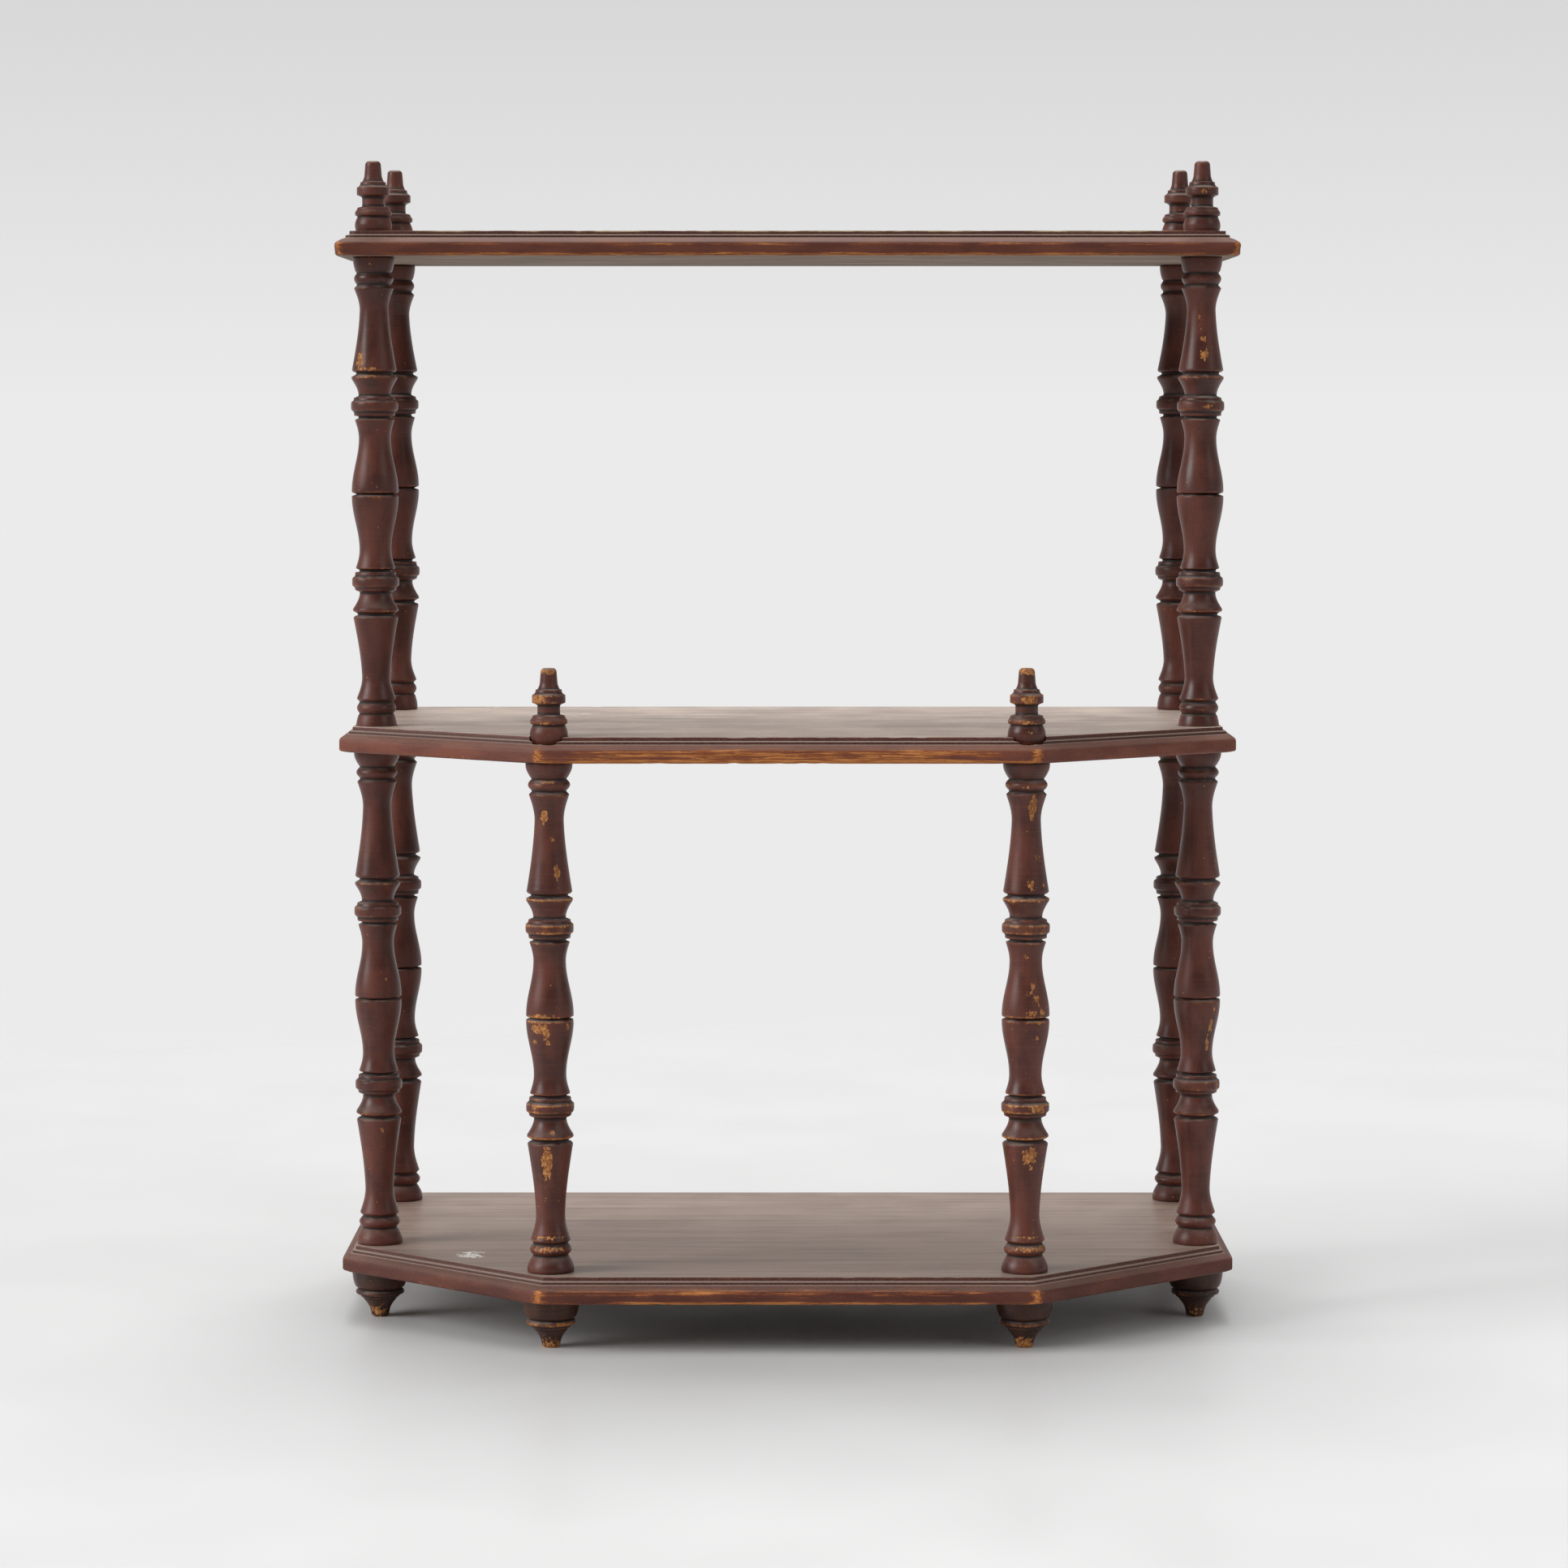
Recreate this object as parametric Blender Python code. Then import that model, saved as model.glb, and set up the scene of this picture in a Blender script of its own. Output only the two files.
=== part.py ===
"""Wall shelf with three boards on turned posts.

The bottom and middle boards have canted front corners and are carried by six posts. The top board is
a plain rectangle, shallower than the others, on the two side posts and the two back posts. A post is
a stack of turned pieces: a foot, one or two spindles and a finial. Each spindle and each finial has a
round peg turned on its lower end. The peg passes through a bore in the board that the piece stands on
and seats in a socket in the piece under that board. What stands on the middle and top boards at the
front and side posts comes close to the moulded edge, and is let into the board there.

Lengths are in metres, +Z is up and the front faces -Y. The origin is on the floor, in the middle of
the width and depth of the bottom board.
"""

import math

import bmesh
import bpy
from mathutils import Vector

# Post axes
SIDE_POST_X = 0.2500
FRONT_POST_X = 0.1404
FRONT_TO_SIDE = 0.1000
SIDE_TO_BACK = 0.1660

# Boards, and the clear heights between them
BOARD_THICKNESS = 0.0150
LOWER_BAY = 0.3025
UPPER_BAY = 0.2837

# Board edges, from the post axes out to the nose of the moulding
BOTTOM_FRONT_MARGIN = 0.0300
MIDDLE_FRONT_MARGIN = 0.0168
TOP_FRONT_MARGIN = 0.0240
SIDE_MARGIN = 0.0220
BACK_MARGIN = 0.0260
CANT_PAST_FRONT_POST = 0.0068
CANT_AHEAD_OF_SIDE_POST = 0.0156

# Moulded edge, from the flat top outwards and down to the underside
UPPER_STEP_DROP = 0.0020
UPPER_STEP_WIDTH = 0.0022
LOWER_STEP_DROP = 0.0012
LOWER_STEP_WIDTH = 0.0008
NOSE_SLOPE_WIDTH = 0.0043
NOSE_SLOPE_DROP = 0.0024
NOSE_ROUND_WIDTH = 0.0011
NOSE_ROUND_DROP = 0.0025
ARRIS = 0.0010

# How deep the turned pieces on the middle and top boards are let in
FRONT_RECESS = 0.0046
SIDE_RECESS = 0.0026

# Pegs, and the room left round them and between seated pieces
PEG_DIAMETER = 0.0120
PEG_REACH = 0.0090
PEG_CHAMFER = 0.0010
PEG_CLEARANCE = 0.0003
PEG_END_CLEARANCE = 0.0005
SEAT_GAP = 0.0003
SEAT_CLEARANCE = 0.0003

# Spindle, from its middle groove out to either end
MIDDLE_GROOVE_DIAMETER = 0.0220
MIDDLE_GROOVE_HALF = 0.0014
BELLY_DIAMETER = 0.0283
BELLY_LENGTH = 0.0324
WAIST_DIAMETER = 0.0193
WAIST_FLARE = 0.0111
RIM_DIAMETER = 0.0240
COLLAR_GROOVE_DIAMETER = 0.0196
COLLAR_GROOVE_CUT = 0.0013
COLLAR_FILLET_DIAMETER = 0.0252
COLLAR_FILLET = 0.0026
COLLAR_DIAMETER = 0.0286
COLLAR_LENGTH = 0.0050
COLLAR_NECK_DIAMETER = 0.0193
COLLAR_NECK_CUT = 0.0014
LIP_FLARE = 0.0108
LIP_DIAMETER = 0.0278
LIP_GROOVE_DIAMETER = 0.0220
LIP_GROOVE_CUT = 0.0022
VASE_DIAMETER = 0.0273
VASE_NECK_DIAMETER = 0.0173
VASE_NECK_SHARE = 0.735
END_GROOVE_DIAMETER = 0.0205
END_GROOVE_CUT = 0.0017
BEAD_LENGTH = 0.0046
LOWER_BEAD_DIAMETER = 0.0249
UPPER_BEAD_DIAMETER = 0.0239
CUP_LENGTH = 0.0093
LOWER_CUP_DIAMETER = 0.0278
UPPER_CUP_DIAMETER = 0.0250

# Finial, from the board up to its tip
BALL_BASE_DIAMETER = 0.0190
BALL_BASE = 0.0059
BALL_DIAMETER = 0.0225
BALL_TOP = 0.0053
BALL_GROOVE_DIAMETER = 0.0190
RING_CUT = 0.0009
RING_DIAMETER = 0.0221
RING_LENGTH = 0.0023
RING_FILLET_DIAMETER = 0.0190
RING_FILLET = 0.0021
FINIAL_NECK_CUT = 0.0008
FINIAL_NECK_DIAMETER = 0.0135
COVE_LENGTH = 0.0069
DRUM_DIAMETER = 0.0200
DRUM_LENGTH = 0.0045
SHOULDER_LENGTH = 0.0032
SHOULDER_DIAMETER = 0.0150
SPIRE_STEP = 0.0006
SPIRE_DIAMETER = 0.0128
SPIRE_LENGTH = 0.0120
TIP_DIAMETER = 0.0091

# Foot, from the board down to the floor
FOOT_CUP_DIAMETER = 0.0342
FOOT_CUP_LENGTH = 0.0104
FOOT_CUP_NECK_DIAMETER = 0.0298
FOOT_RING_CUT = 0.0008
FOOT_RING_DIAMETER = 0.0313
FOOT_RING_LENGTH = 0.0034
FOOT_FILLET = 0.0014
FOOT_FILLET_DIAMETER = 0.0226
SPIKE_LENGTH = 0.0093
SPIKE_DIAMETER = 0.0106
FOOT_TIP_LENGTH = 0.0047
FOOT_TIP_DIAMETER = 0.0100

# Fineness of the turned surfaces
SIDES = 10
LONG_CURVE_STEPS = 3
SHORT_CURVE_STEPS = 2
SMOOTH_ANGLE = math.radians(40)

# Bore cutters reach this far out of a board
CUTTER_OVERSHOOT = 0.0050

# Finishes, as base colour and roughness
STAINS = {
    "board_stain": ((0.120, 0.066, 0.050, 1.0), 0.62),
    "spindle_stain": ((0.082, 0.033, 0.026, 1.0), 0.50),
    "finial_stain": ((0.095, 0.042, 0.030, 1.0), 0.52),
    "foot_stain": ((0.105, 0.046, 0.028, 1.0), 0.55),
}

# Places worked out from the sizes above
FOOT_HEIGHT = (
    FOOT_CUP_LENGTH
    + FOOT_RING_CUT
    + FOOT_RING_LENGTH
    + FOOT_FILLET
    + SPIKE_LENGTH
    + FOOT_TIP_LENGTH
)
BOTTOM_BOARD_Z = FOOT_HEIGHT + SEAT_GAP
MIDDLE_BOARD_Z = BOTTOM_BOARD_Z + BOARD_THICKNESS + LOWER_BAY
TOP_BOARD_Z = MIDDLE_BOARD_Z + BOARD_THICKNESS + UPPER_BAY
DEPTH = BOTTOM_FRONT_MARGIN + FRONT_TO_SIDE + SIDE_TO_BACK + BACK_MARGIN
BACK_EDGE_Y = DEPTH / 2
BACK_POST_Y = BACK_EDGE_Y - BACK_MARGIN
SIDE_POST_Y = BACK_POST_Y - SIDE_TO_BACK
FRONT_POST_Y = SIDE_POST_Y - FRONT_TO_SIDE
SIDE_EDGE_X = SIDE_POST_X + SIDE_MARGIN

# Rows of posts, by the axis of the right-hand post, and how deep what stands on an upper board goes
POSTS = {
    "front": (FRONT_POST_X, FRONT_POST_Y),
    "side": (SIDE_POST_X, SIDE_POST_Y),
    "back": (SIDE_POST_X, BACK_POST_Y),
}
TALL_ROWS = ("side", "back")
HANDS = {"left": -1, "right": 1}
RECESSES = {"front": FRONT_RECESS, "side": SIDE_RECESS, "back": 0.0}


def clear_scene():
    for item in list(bpy.data.objects):
        bpy.data.objects.remove(item, do_unlink=True)


def stain(name):
    """A satin stain with the colour and roughness listed for it."""
    colour, roughness = STAINS[name]
    finish = bpy.data.materials.new(name)
    finish.use_nodes = True
    shader = finish.node_tree.nodes["Principled BSDF"]
    shader.inputs["Base Color"].default_value = colour
    shader.inputs["Roughness"].default_value = roughness
    shader.inputs["Metallic"].default_value = 0.0
    return finish


def place(name, mesh, location, parent):
    piece = bpy.data.objects.new(name, mesh)
    piece.location = location
    piece.parent = parent
    bpy.context.scene.collection.objects.link(piece)
    return piece


def swell(t):
    """Leaves and arrives along the axis."""
    return (1 - math.cos(math.pi * t)) / 2


def flare(t):
    """Leaves along the axis and arrives steeply."""
    return 1 - math.cos(math.pi * t / 2)


def hollow(t):
    """Leaves steeply and arrives along the axis."""
    return math.sin(math.pi * t / 2)


class Turning:
    """Walks along the axis of a turned piece and keeps its outline as (distance, radius) pairs."""

    def __init__(self, diameter):
        self.outline = [(0.0, diameter / 2)]

    def line(self, length, diameter):
        """A straight cut that ends this much further on, at the given diameter."""
        start = self.outline[-1][0]
        self.outline.append((start + length, diameter / 2))

    def curve(self, length, diameter, shape, steps):
        """A curved cut, with shape giving how much of the change is made at each part of the way."""
        start, first = self.outline[-1]
        change = diameter / 2 - first
        for step in range(1, steps + 1):
            t = step / steps
            self.outline.append((start + length * t, first + change * shape(t)))


def half_spindle(length, bead_diameter, cup_diameter):
    """Outline of one half of a spindle, from its middle groove to its end.

    The outer vase takes up what the other features leave of the length.
    """
    cut = Turning(MIDDLE_GROOVE_DIAMETER)
    cut.line(MIDDLE_GROOVE_HALF, BELLY_DIAMETER)
    cut.curve(BELLY_LENGTH, WAIST_DIAMETER, swell, LONG_CURVE_STEPS)
    cut.curve(WAIST_FLARE, RIM_DIAMETER, flare, SHORT_CURVE_STEPS)
    cut.line(COLLAR_GROOVE_CUT, COLLAR_GROOVE_DIAMETER)
    cut.line(COLLAR_GROOVE_CUT, COLLAR_FILLET_DIAMETER)
    cut.line(COLLAR_FILLET, COLLAR_DIAMETER)
    cut.line(COLLAR_LENGTH, COLLAR_DIAMETER)
    cut.line(COLLAR_FILLET, COLLAR_FILLET_DIAMETER)
    cut.line(COLLAR_NECK_CUT, COLLAR_NECK_DIAMETER)
    cut.curve(LIP_FLARE, LIP_DIAMETER, flare, SHORT_CURVE_STEPS)
    cut.line(LIP_GROOVE_CUT, LIP_GROOVE_DIAMETER)
    cut.line(LIP_GROOVE_CUT, VASE_DIAMETER)
    end = 3 * END_GROOVE_CUT + BEAD_LENGTH + CUP_LENGTH
    vase = length / 2 - cut.outline[-1][0] - end
    neck = vase * VASE_NECK_SHARE
    cut.curve(neck, VASE_NECK_DIAMETER, hollow, LONG_CURVE_STEPS)
    cut.curve(vase - neck, RIM_DIAMETER, flare, SHORT_CURVE_STEPS)
    cut.line(END_GROOVE_CUT, END_GROOVE_DIAMETER)
    cut.line(END_GROOVE_CUT, bead_diameter)
    cut.line(BEAD_LENGTH, bead_diameter)
    cut.line(END_GROOVE_CUT, END_GROOVE_DIAMETER)
    cut.curve(CUP_LENGTH, cup_diameter, hollow, SHORT_CURVE_STEPS)
    return cut.outline


def socket(top):
    """Outline of a blind socket that opens upwards, from its floor on the axis to its mouth."""
    radius = PEG_DIAMETER / 2 + PEG_CLEARANCE
    floor = top - PEG_REACH - PEG_END_CLEARANCE
    return [(floor, 0.0), (floor, radius), (top, radius)]


def peg(recess):
    """Outline of the peg under a piece that is let in this deep, from its lower end at zero."""
    radius = PEG_DIAMETER / 2
    end = recess - (SEAT_GAP + BOARD_THICKNESS + SEAT_GAP + PEG_REACH)
    return [(0.0, radius), (end + PEG_CHAMFER, radius), (end, radius - PEG_CHAMFER), (end, 0.0)]


def spindle_mesh(name, bay, recess, bead_diameter, cup_diameter, finish):
    """A spindle that fills a bay, with a socket in its top and a peg under it."""
    length = bay + recess - 2 * SEAT_GAP
    half = half_spindle(length, bead_diameter, cup_diameter)
    upper = [(length / 2 + distance, radius) for distance, radius in reversed(half)]
    lower = [(length / 2 - distance, radius) for distance, radius in half[1:]]
    return turned_mesh(name, socket(length) + upper + lower + peg(recess), finish)


def finial_mesh(name, recess, finish):
    """A finial with its peg: a ball, a ring, a drum on a coved neck and a short spire."""
    cut = Turning(BALL_BASE_DIAMETER)
    cut.curve(BALL_BASE, BALL_DIAMETER, hollow, SHORT_CURVE_STEPS)
    cut.curve(BALL_TOP, BALL_GROOVE_DIAMETER, flare, SHORT_CURVE_STEPS)
    cut.line(RING_CUT, RING_DIAMETER)
    cut.line(RING_LENGTH, RING_DIAMETER)
    cut.line(RING_FILLET, RING_FILLET_DIAMETER)
    cut.line(FINIAL_NECK_CUT, FINIAL_NECK_DIAMETER)
    cut.curve(COVE_LENGTH, DRUM_DIAMETER, flare, SHORT_CURVE_STEPS)
    cut.line(DRUM_LENGTH, DRUM_DIAMETER)
    cut.line(SHOULDER_LENGTH, SHOULDER_DIAMETER)
    cut.line(SPIRE_STEP, SPIRE_DIAMETER)
    cut.curve(SPIRE_LENGTH, TIP_DIAMETER, hollow, SHORT_CURVE_STEPS)
    tip = cut.outline[-1][0]
    return turned_mesh(name, [(tip, 0.0)] + cut.outline[::-1] + peg(recess), finish)


def foot_mesh(name, finish):
    """A foot with a socket in its top: a cup, a ring and a spike that ends in a blunt tip."""
    cut = Turning(FOOT_CUP_DIAMETER)
    cut.curve(FOOT_CUP_LENGTH, FOOT_CUP_NECK_DIAMETER, flare, SHORT_CURVE_STEPS)
    cut.line(FOOT_RING_CUT, FOOT_RING_DIAMETER)
    cut.line(FOOT_RING_LENGTH, FOOT_RING_DIAMETER)
    cut.line(FOOT_FILLET, FOOT_FILLET_DIAMETER)
    cut.curve(SPIKE_LENGTH, SPIKE_DIAMETER, hollow, LONG_CURVE_STEPS)
    cut.line(FOOT_TIP_LENGTH, FOOT_TIP_DIAMETER)
    side = [(FOOT_HEIGHT - distance, radius) for distance, radius in cut.outline]
    return turned_mesh(name, socket(FOOT_HEIGHT) + side + [(0.0, 0.0)], finish)


def bore_mesh(name, seat_diameter, recess, finish):
    """A cutter for a peg's bore, standing on a board's underside, with a wide top for a piece let in."""
    bore = PEG_DIAMETER / 2 + PEG_CLEARANCE
    top = BOARD_THICKNESS + CUTTER_OVERSHOOT
    low = -CUTTER_OVERSHOOT
    if recess > 0:
        seat = seat_diameter / 2 + SEAT_CLEARANCE
        floor = BOARD_THICKNESS - recess
        upper = [(top, 0.0), (top, seat), (floor, seat), (floor, bore)]
    else:
        upper = [(top, 0.0), (top, bore)]
    return turned_mesh(name, upper + [(low, bore), (low, 0.0)], finish)


def turned_mesh(name, outline, finish):
    """Spins an outline of (height, radius) pairs, which starts and ends on the axis, round Z."""
    bm = bmesh.new()
    points = [bm.verts.new((radius, 0.0, height)) for height, radius in outline]
    edges = [bm.edges.new(pair) for pair in zip(points, points[1:])]
    bmesh.ops.spin(
        bm,
        geom=points + edges,
        cent=(0.0, 0.0, 0.0),
        axis=(0.0, 0.0, 1.0),
        angle=math.tau,
        steps=SIDES,
        use_merge=True,
    )
    closest = PEG_CLEARANCE / 10
    bmesh.ops.remove_doubles(bm, verts=bm.verts[:], dist=closest)
    bmesh.ops.recalc_face_normals(bm, faces=bm.faces[:])
    mesh = bpy.data.meshes.new(name)
    bm.to_mesh(mesh)
    bm.free()
    mesh.shade_smooth()
    mesh.set_sharp_from_angle(angle=SMOOTH_ANGLE)
    mesh.materials.append(finish)
    return mesh


def canted_corners(front_margin):
    """Corners of the bottom or middle board at the nose, anticlockwise from the back left."""
    cant_x = FRONT_POST_X + CANT_PAST_FRONT_POST
    cant_y = SIDE_POST_Y - CANT_AHEAD_OF_SIDE_POST
    right = [
        Vector((SIDE_EDGE_X, BACK_EDGE_Y)),
        Vector((SIDE_EDGE_X, cant_y)),
        Vector((cant_x, FRONT_POST_Y - front_margin)),
    ]
    left = [Vector((-corner.x, corner.y)) for corner in right]
    return left + right[::-1]


def square_corners():
    """Corners of the top board at the nose, in the same order."""
    front_y = SIDE_POST_Y - TOP_FRONT_MARGIN
    right = [Vector((SIDE_EDGE_X, BACK_EDGE_Y)), Vector((SIDE_EDGE_X, front_y))]
    left = [Vector((-corner.x, corner.y)) for corner in right]
    return left + right[::-1]


def moulding():
    """The moulded edge from top to underside, as (inset from the nose, height above the underside)."""
    steps = [
        (0.0, UPPER_STEP_DROP),
        (UPPER_STEP_WIDTH, 0.0),
        (0.0, LOWER_STEP_DROP),
        (LOWER_STEP_WIDTH, 0.0),
        (NOSE_SLOPE_WIDTH, NOSE_SLOPE_DROP),
        (NOSE_ROUND_WIDTH, NOSE_ROUND_DROP),
    ]
    inset = sum(width for width, drop in steps)
    height = BOARD_THICKNESS
    outline = [(inset, height)]
    for width, drop in steps:
        inset -= width
        height -= drop
        outline.append((inset, height))
    return outline + [(0.0, ARRIS), (ARRIS, 0.0)]


def inset_corners(corners, inset):
    """Corners moved in from every edge but the last one, which is the straight back of the board."""
    count = len(corners)
    lines = []
    for index, corner in enumerate(corners):
        along = (corners[(index + 1) % count] - corner).normalized()
        inward = Vector((-along.y, along.x))
        is_back = index == count - 1
        lines.append((corner if is_back else corner + inward * inset, along))
    moved = []
    for index in range(count):
        start, along = lines[index - 1]
        other, across = lines[index]
        normal = Vector((-across.y, across.x))
        moved.append(start + along * ((other - start).dot(normal) / along.dot(normal)))
    return moved


def board_mesh(name, corners, finish):
    """A board on its underside at zero, with its edge moulded on all sides but the back."""
    bm = bmesh.new()
    rings = []
    for inset, height in moulding():
        outline = inset_corners(corners, inset)
        rings.append([bm.verts.new((corner.x, corner.y, height)) for corner in outline])
    for upper, lower in zip(rings, rings[1:]):
        for i in range(1, len(corners)):
            bm.faces.new((upper[i - 1], upper[i], lower[i], lower[i - 1]))
    back_left = [ring[0] for ring in rings]
    back_right = [ring[-1] for ring in rings]
    bm.faces.new(back_left + back_right[::-1])
    bm.faces.new(rings[0])
    bm.faces.new(rings[-1])
    bmesh.ops.recalc_face_normals(bm, faces=bm.faces[:])
    mesh = bpy.data.meshes.new(name)
    bm.to_mesh(mesh)
    bm.free()
    mesh.materials.append(finish)
    return mesh


def board(name, corners, underside, rows, seats, finish, parent):
    """A board bored for its rows of posts, where seats gives the diameter of each piece let into it."""
    piece = place(name, board_mesh(name, corners, finish), (0.0, 0.0, underside), parent)
    for row in rows:
        recess = RECESSES[row] if row in seats else 0.0
        cutter_mesh = bore_mesh(f"{name}_{row}_bore", seats.get(row), recess, finish)
        for hand, cutter in pair(f"{name}_bore", row, cutter_mesh, underside, parent).items():
            cutter.hide_render = True
            cutter.display_type = "WIRE"
            bore = piece.modifiers.new(f"bore {row} {hand}", "BOOLEAN")
            bore.operation = "DIFFERENCE"
            bore.solver = "EXACT"
            bore.object = cutter


def pair(kind, row, mesh, height, parent):
    """The same turned shape on the left and right posts of a row."""
    x, y = POSTS[row]
    return {
        hand: place(f"{kind}_{row}_{hand}", mesh, (side * x, y, height), parent)
        for hand, side in HANDS.items()
    }


def build():
    clear_scene()
    shelf = place("wall_shelf", None, (0.0, 0.0, 0.0), None)
    stains = {name: stain(name) for name in STAINS}
    bottom_top = BOTTOM_BOARD_Z + BOARD_THICKNESS + SEAT_GAP
    middle_top = MIDDLE_BOARD_Z + BOARD_THICKNESS + SEAT_GAP
    top_top = TOP_BOARD_Z + BOARD_THICKNESS + SEAT_GAP

    wood = stains["board_stain"]
    middle_seats = {"front": BALL_DIAMETER, "side": UPPER_CUP_DIAMETER}
    top_seats = {"side": BALL_DIAMETER}
    bottom = canted_corners(BOTTOM_FRONT_MARGIN)
    middle = canted_corners(MIDDLE_FRONT_MARGIN)
    board("bottom_shelf", bottom, BOTTOM_BOARD_Z, POSTS, {}, wood, shelf)
    board("middle_shelf", middle, MIDDLE_BOARD_Z, POSTS, middle_seats, wood, shelf)
    board("top_shelf", square_corners(), TOP_BOARD_Z, TALL_ROWS, top_seats, wood, shelf)

    turned = stains["spindle_stain"]
    lower_sizes = (LOWER_BAY, 0.0, LOWER_BEAD_DIAMETER, LOWER_CUP_DIAMETER)
    lower = spindle_mesh("lower_spindle", *lower_sizes, turned)
    foot = foot_mesh("foot", stains["foot_stain"])
    for row in POSTS:
        pair("foot", row, foot, 0.0, shelf)
        pair("lower_spindle", row, lower, bottom_top, shelf)

    for row in TALL_ROWS:
        upper_sizes = (UPPER_BAY, RECESSES[row], UPPER_BEAD_DIAMETER, UPPER_CUP_DIAMETER)
        upper = spindle_mesh(f"upper_spindle_{row}", *upper_sizes, turned)
        pair("upper_spindle", row, upper, middle_top - RECESSES[row], shelf)

    for row, recess in RECESSES.items():
        finial = finial_mesh(f"finial_{row}", recess, stains["finial_stain"])
        board_top = top_top if row in TALL_ROWS else middle_top
        pair("finial", row, finial, board_top - recess, shelf)


build()
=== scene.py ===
# %% [markdown]
# # A worn wall shelf on turned posts
# The shelf has three stained boards on stacks of turned pieces: feet, spindles and finials. Its finish
# is old. Handling has rubbed the proud edges down to bare wood, the grooves are darker, and dust lies on
# the ledges. The imported model already has the right places and sizes. This file keeps them, and puts a
# finer piece with rounded edges, small bites and a worn finish in the place of every plain solid.

# %% Load the imported model
import bisect
import math

import bmesh
import bpy
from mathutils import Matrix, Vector, noise


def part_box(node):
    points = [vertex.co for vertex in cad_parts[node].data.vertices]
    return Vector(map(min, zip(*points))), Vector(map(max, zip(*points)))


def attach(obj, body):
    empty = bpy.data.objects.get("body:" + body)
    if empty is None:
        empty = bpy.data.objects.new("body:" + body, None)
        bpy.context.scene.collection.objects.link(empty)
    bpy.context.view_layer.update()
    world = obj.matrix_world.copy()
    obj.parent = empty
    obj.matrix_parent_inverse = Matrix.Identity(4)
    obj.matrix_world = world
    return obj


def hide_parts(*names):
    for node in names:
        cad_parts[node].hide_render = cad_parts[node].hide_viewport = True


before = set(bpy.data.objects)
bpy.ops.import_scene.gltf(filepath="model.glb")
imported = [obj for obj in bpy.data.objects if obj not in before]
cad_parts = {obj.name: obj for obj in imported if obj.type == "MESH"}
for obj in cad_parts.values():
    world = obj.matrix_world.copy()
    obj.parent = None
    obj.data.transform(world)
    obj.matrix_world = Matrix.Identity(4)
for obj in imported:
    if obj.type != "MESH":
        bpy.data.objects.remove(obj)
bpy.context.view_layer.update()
scene = bpy.context.scene
scene.view_settings.view_transform = "Standard"
MM = 0.001

# %% [markdown]
# ## Camera
# The picture was taken from almost 3 m away with a long lens, a little above the middle board and
# looking slightly down. A camera could be placed by eye. Here its place comes from known points on the
# shelf, such as the tips of the feet and the tops of the finials, so the render can be laid over it.

# %% Camera
IMAGE_PIXELS = 1932
FOCAL_PIXELS = 6000
SENSOR_WIDTH = 36.0
CAMERA_PLACE = (-0.0022, -2.987, 0.552)
LOOKING_DOWN = math.radians(4.35)
lens = bpy.data.cameras.new("studio_camera")
lens.sensor_width = SENSOR_WIDTH
lens.lens = FOCAL_PIXELS * SENSOR_WIDTH / IMAGE_PIXELS
camera = bpy.data.objects.new("studio_camera", lens)
camera.location = CAMERA_PLACE
camera.rotation_euler = (math.pi / 2 - LOOKING_DOWN, 0.0, 0.0)
scene.collection.objects.link(camera)
scene.camera = camera
print("camera: lens", round(lens.lens, 1), "mm")

# %% [markdown]
# ## A helper for finishes
# Every finish below is a node material that ends in one Principled shader. Nodes could be added and
# linked by hand each time. A small class keeps that short: each method adds one node, feeds its sockets
# with numbers or with other nodes, and returns its output. Patterns are placed by Object coordinates,
# and every piece sits at the origin, so a pattern has its true size in the wood.

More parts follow.
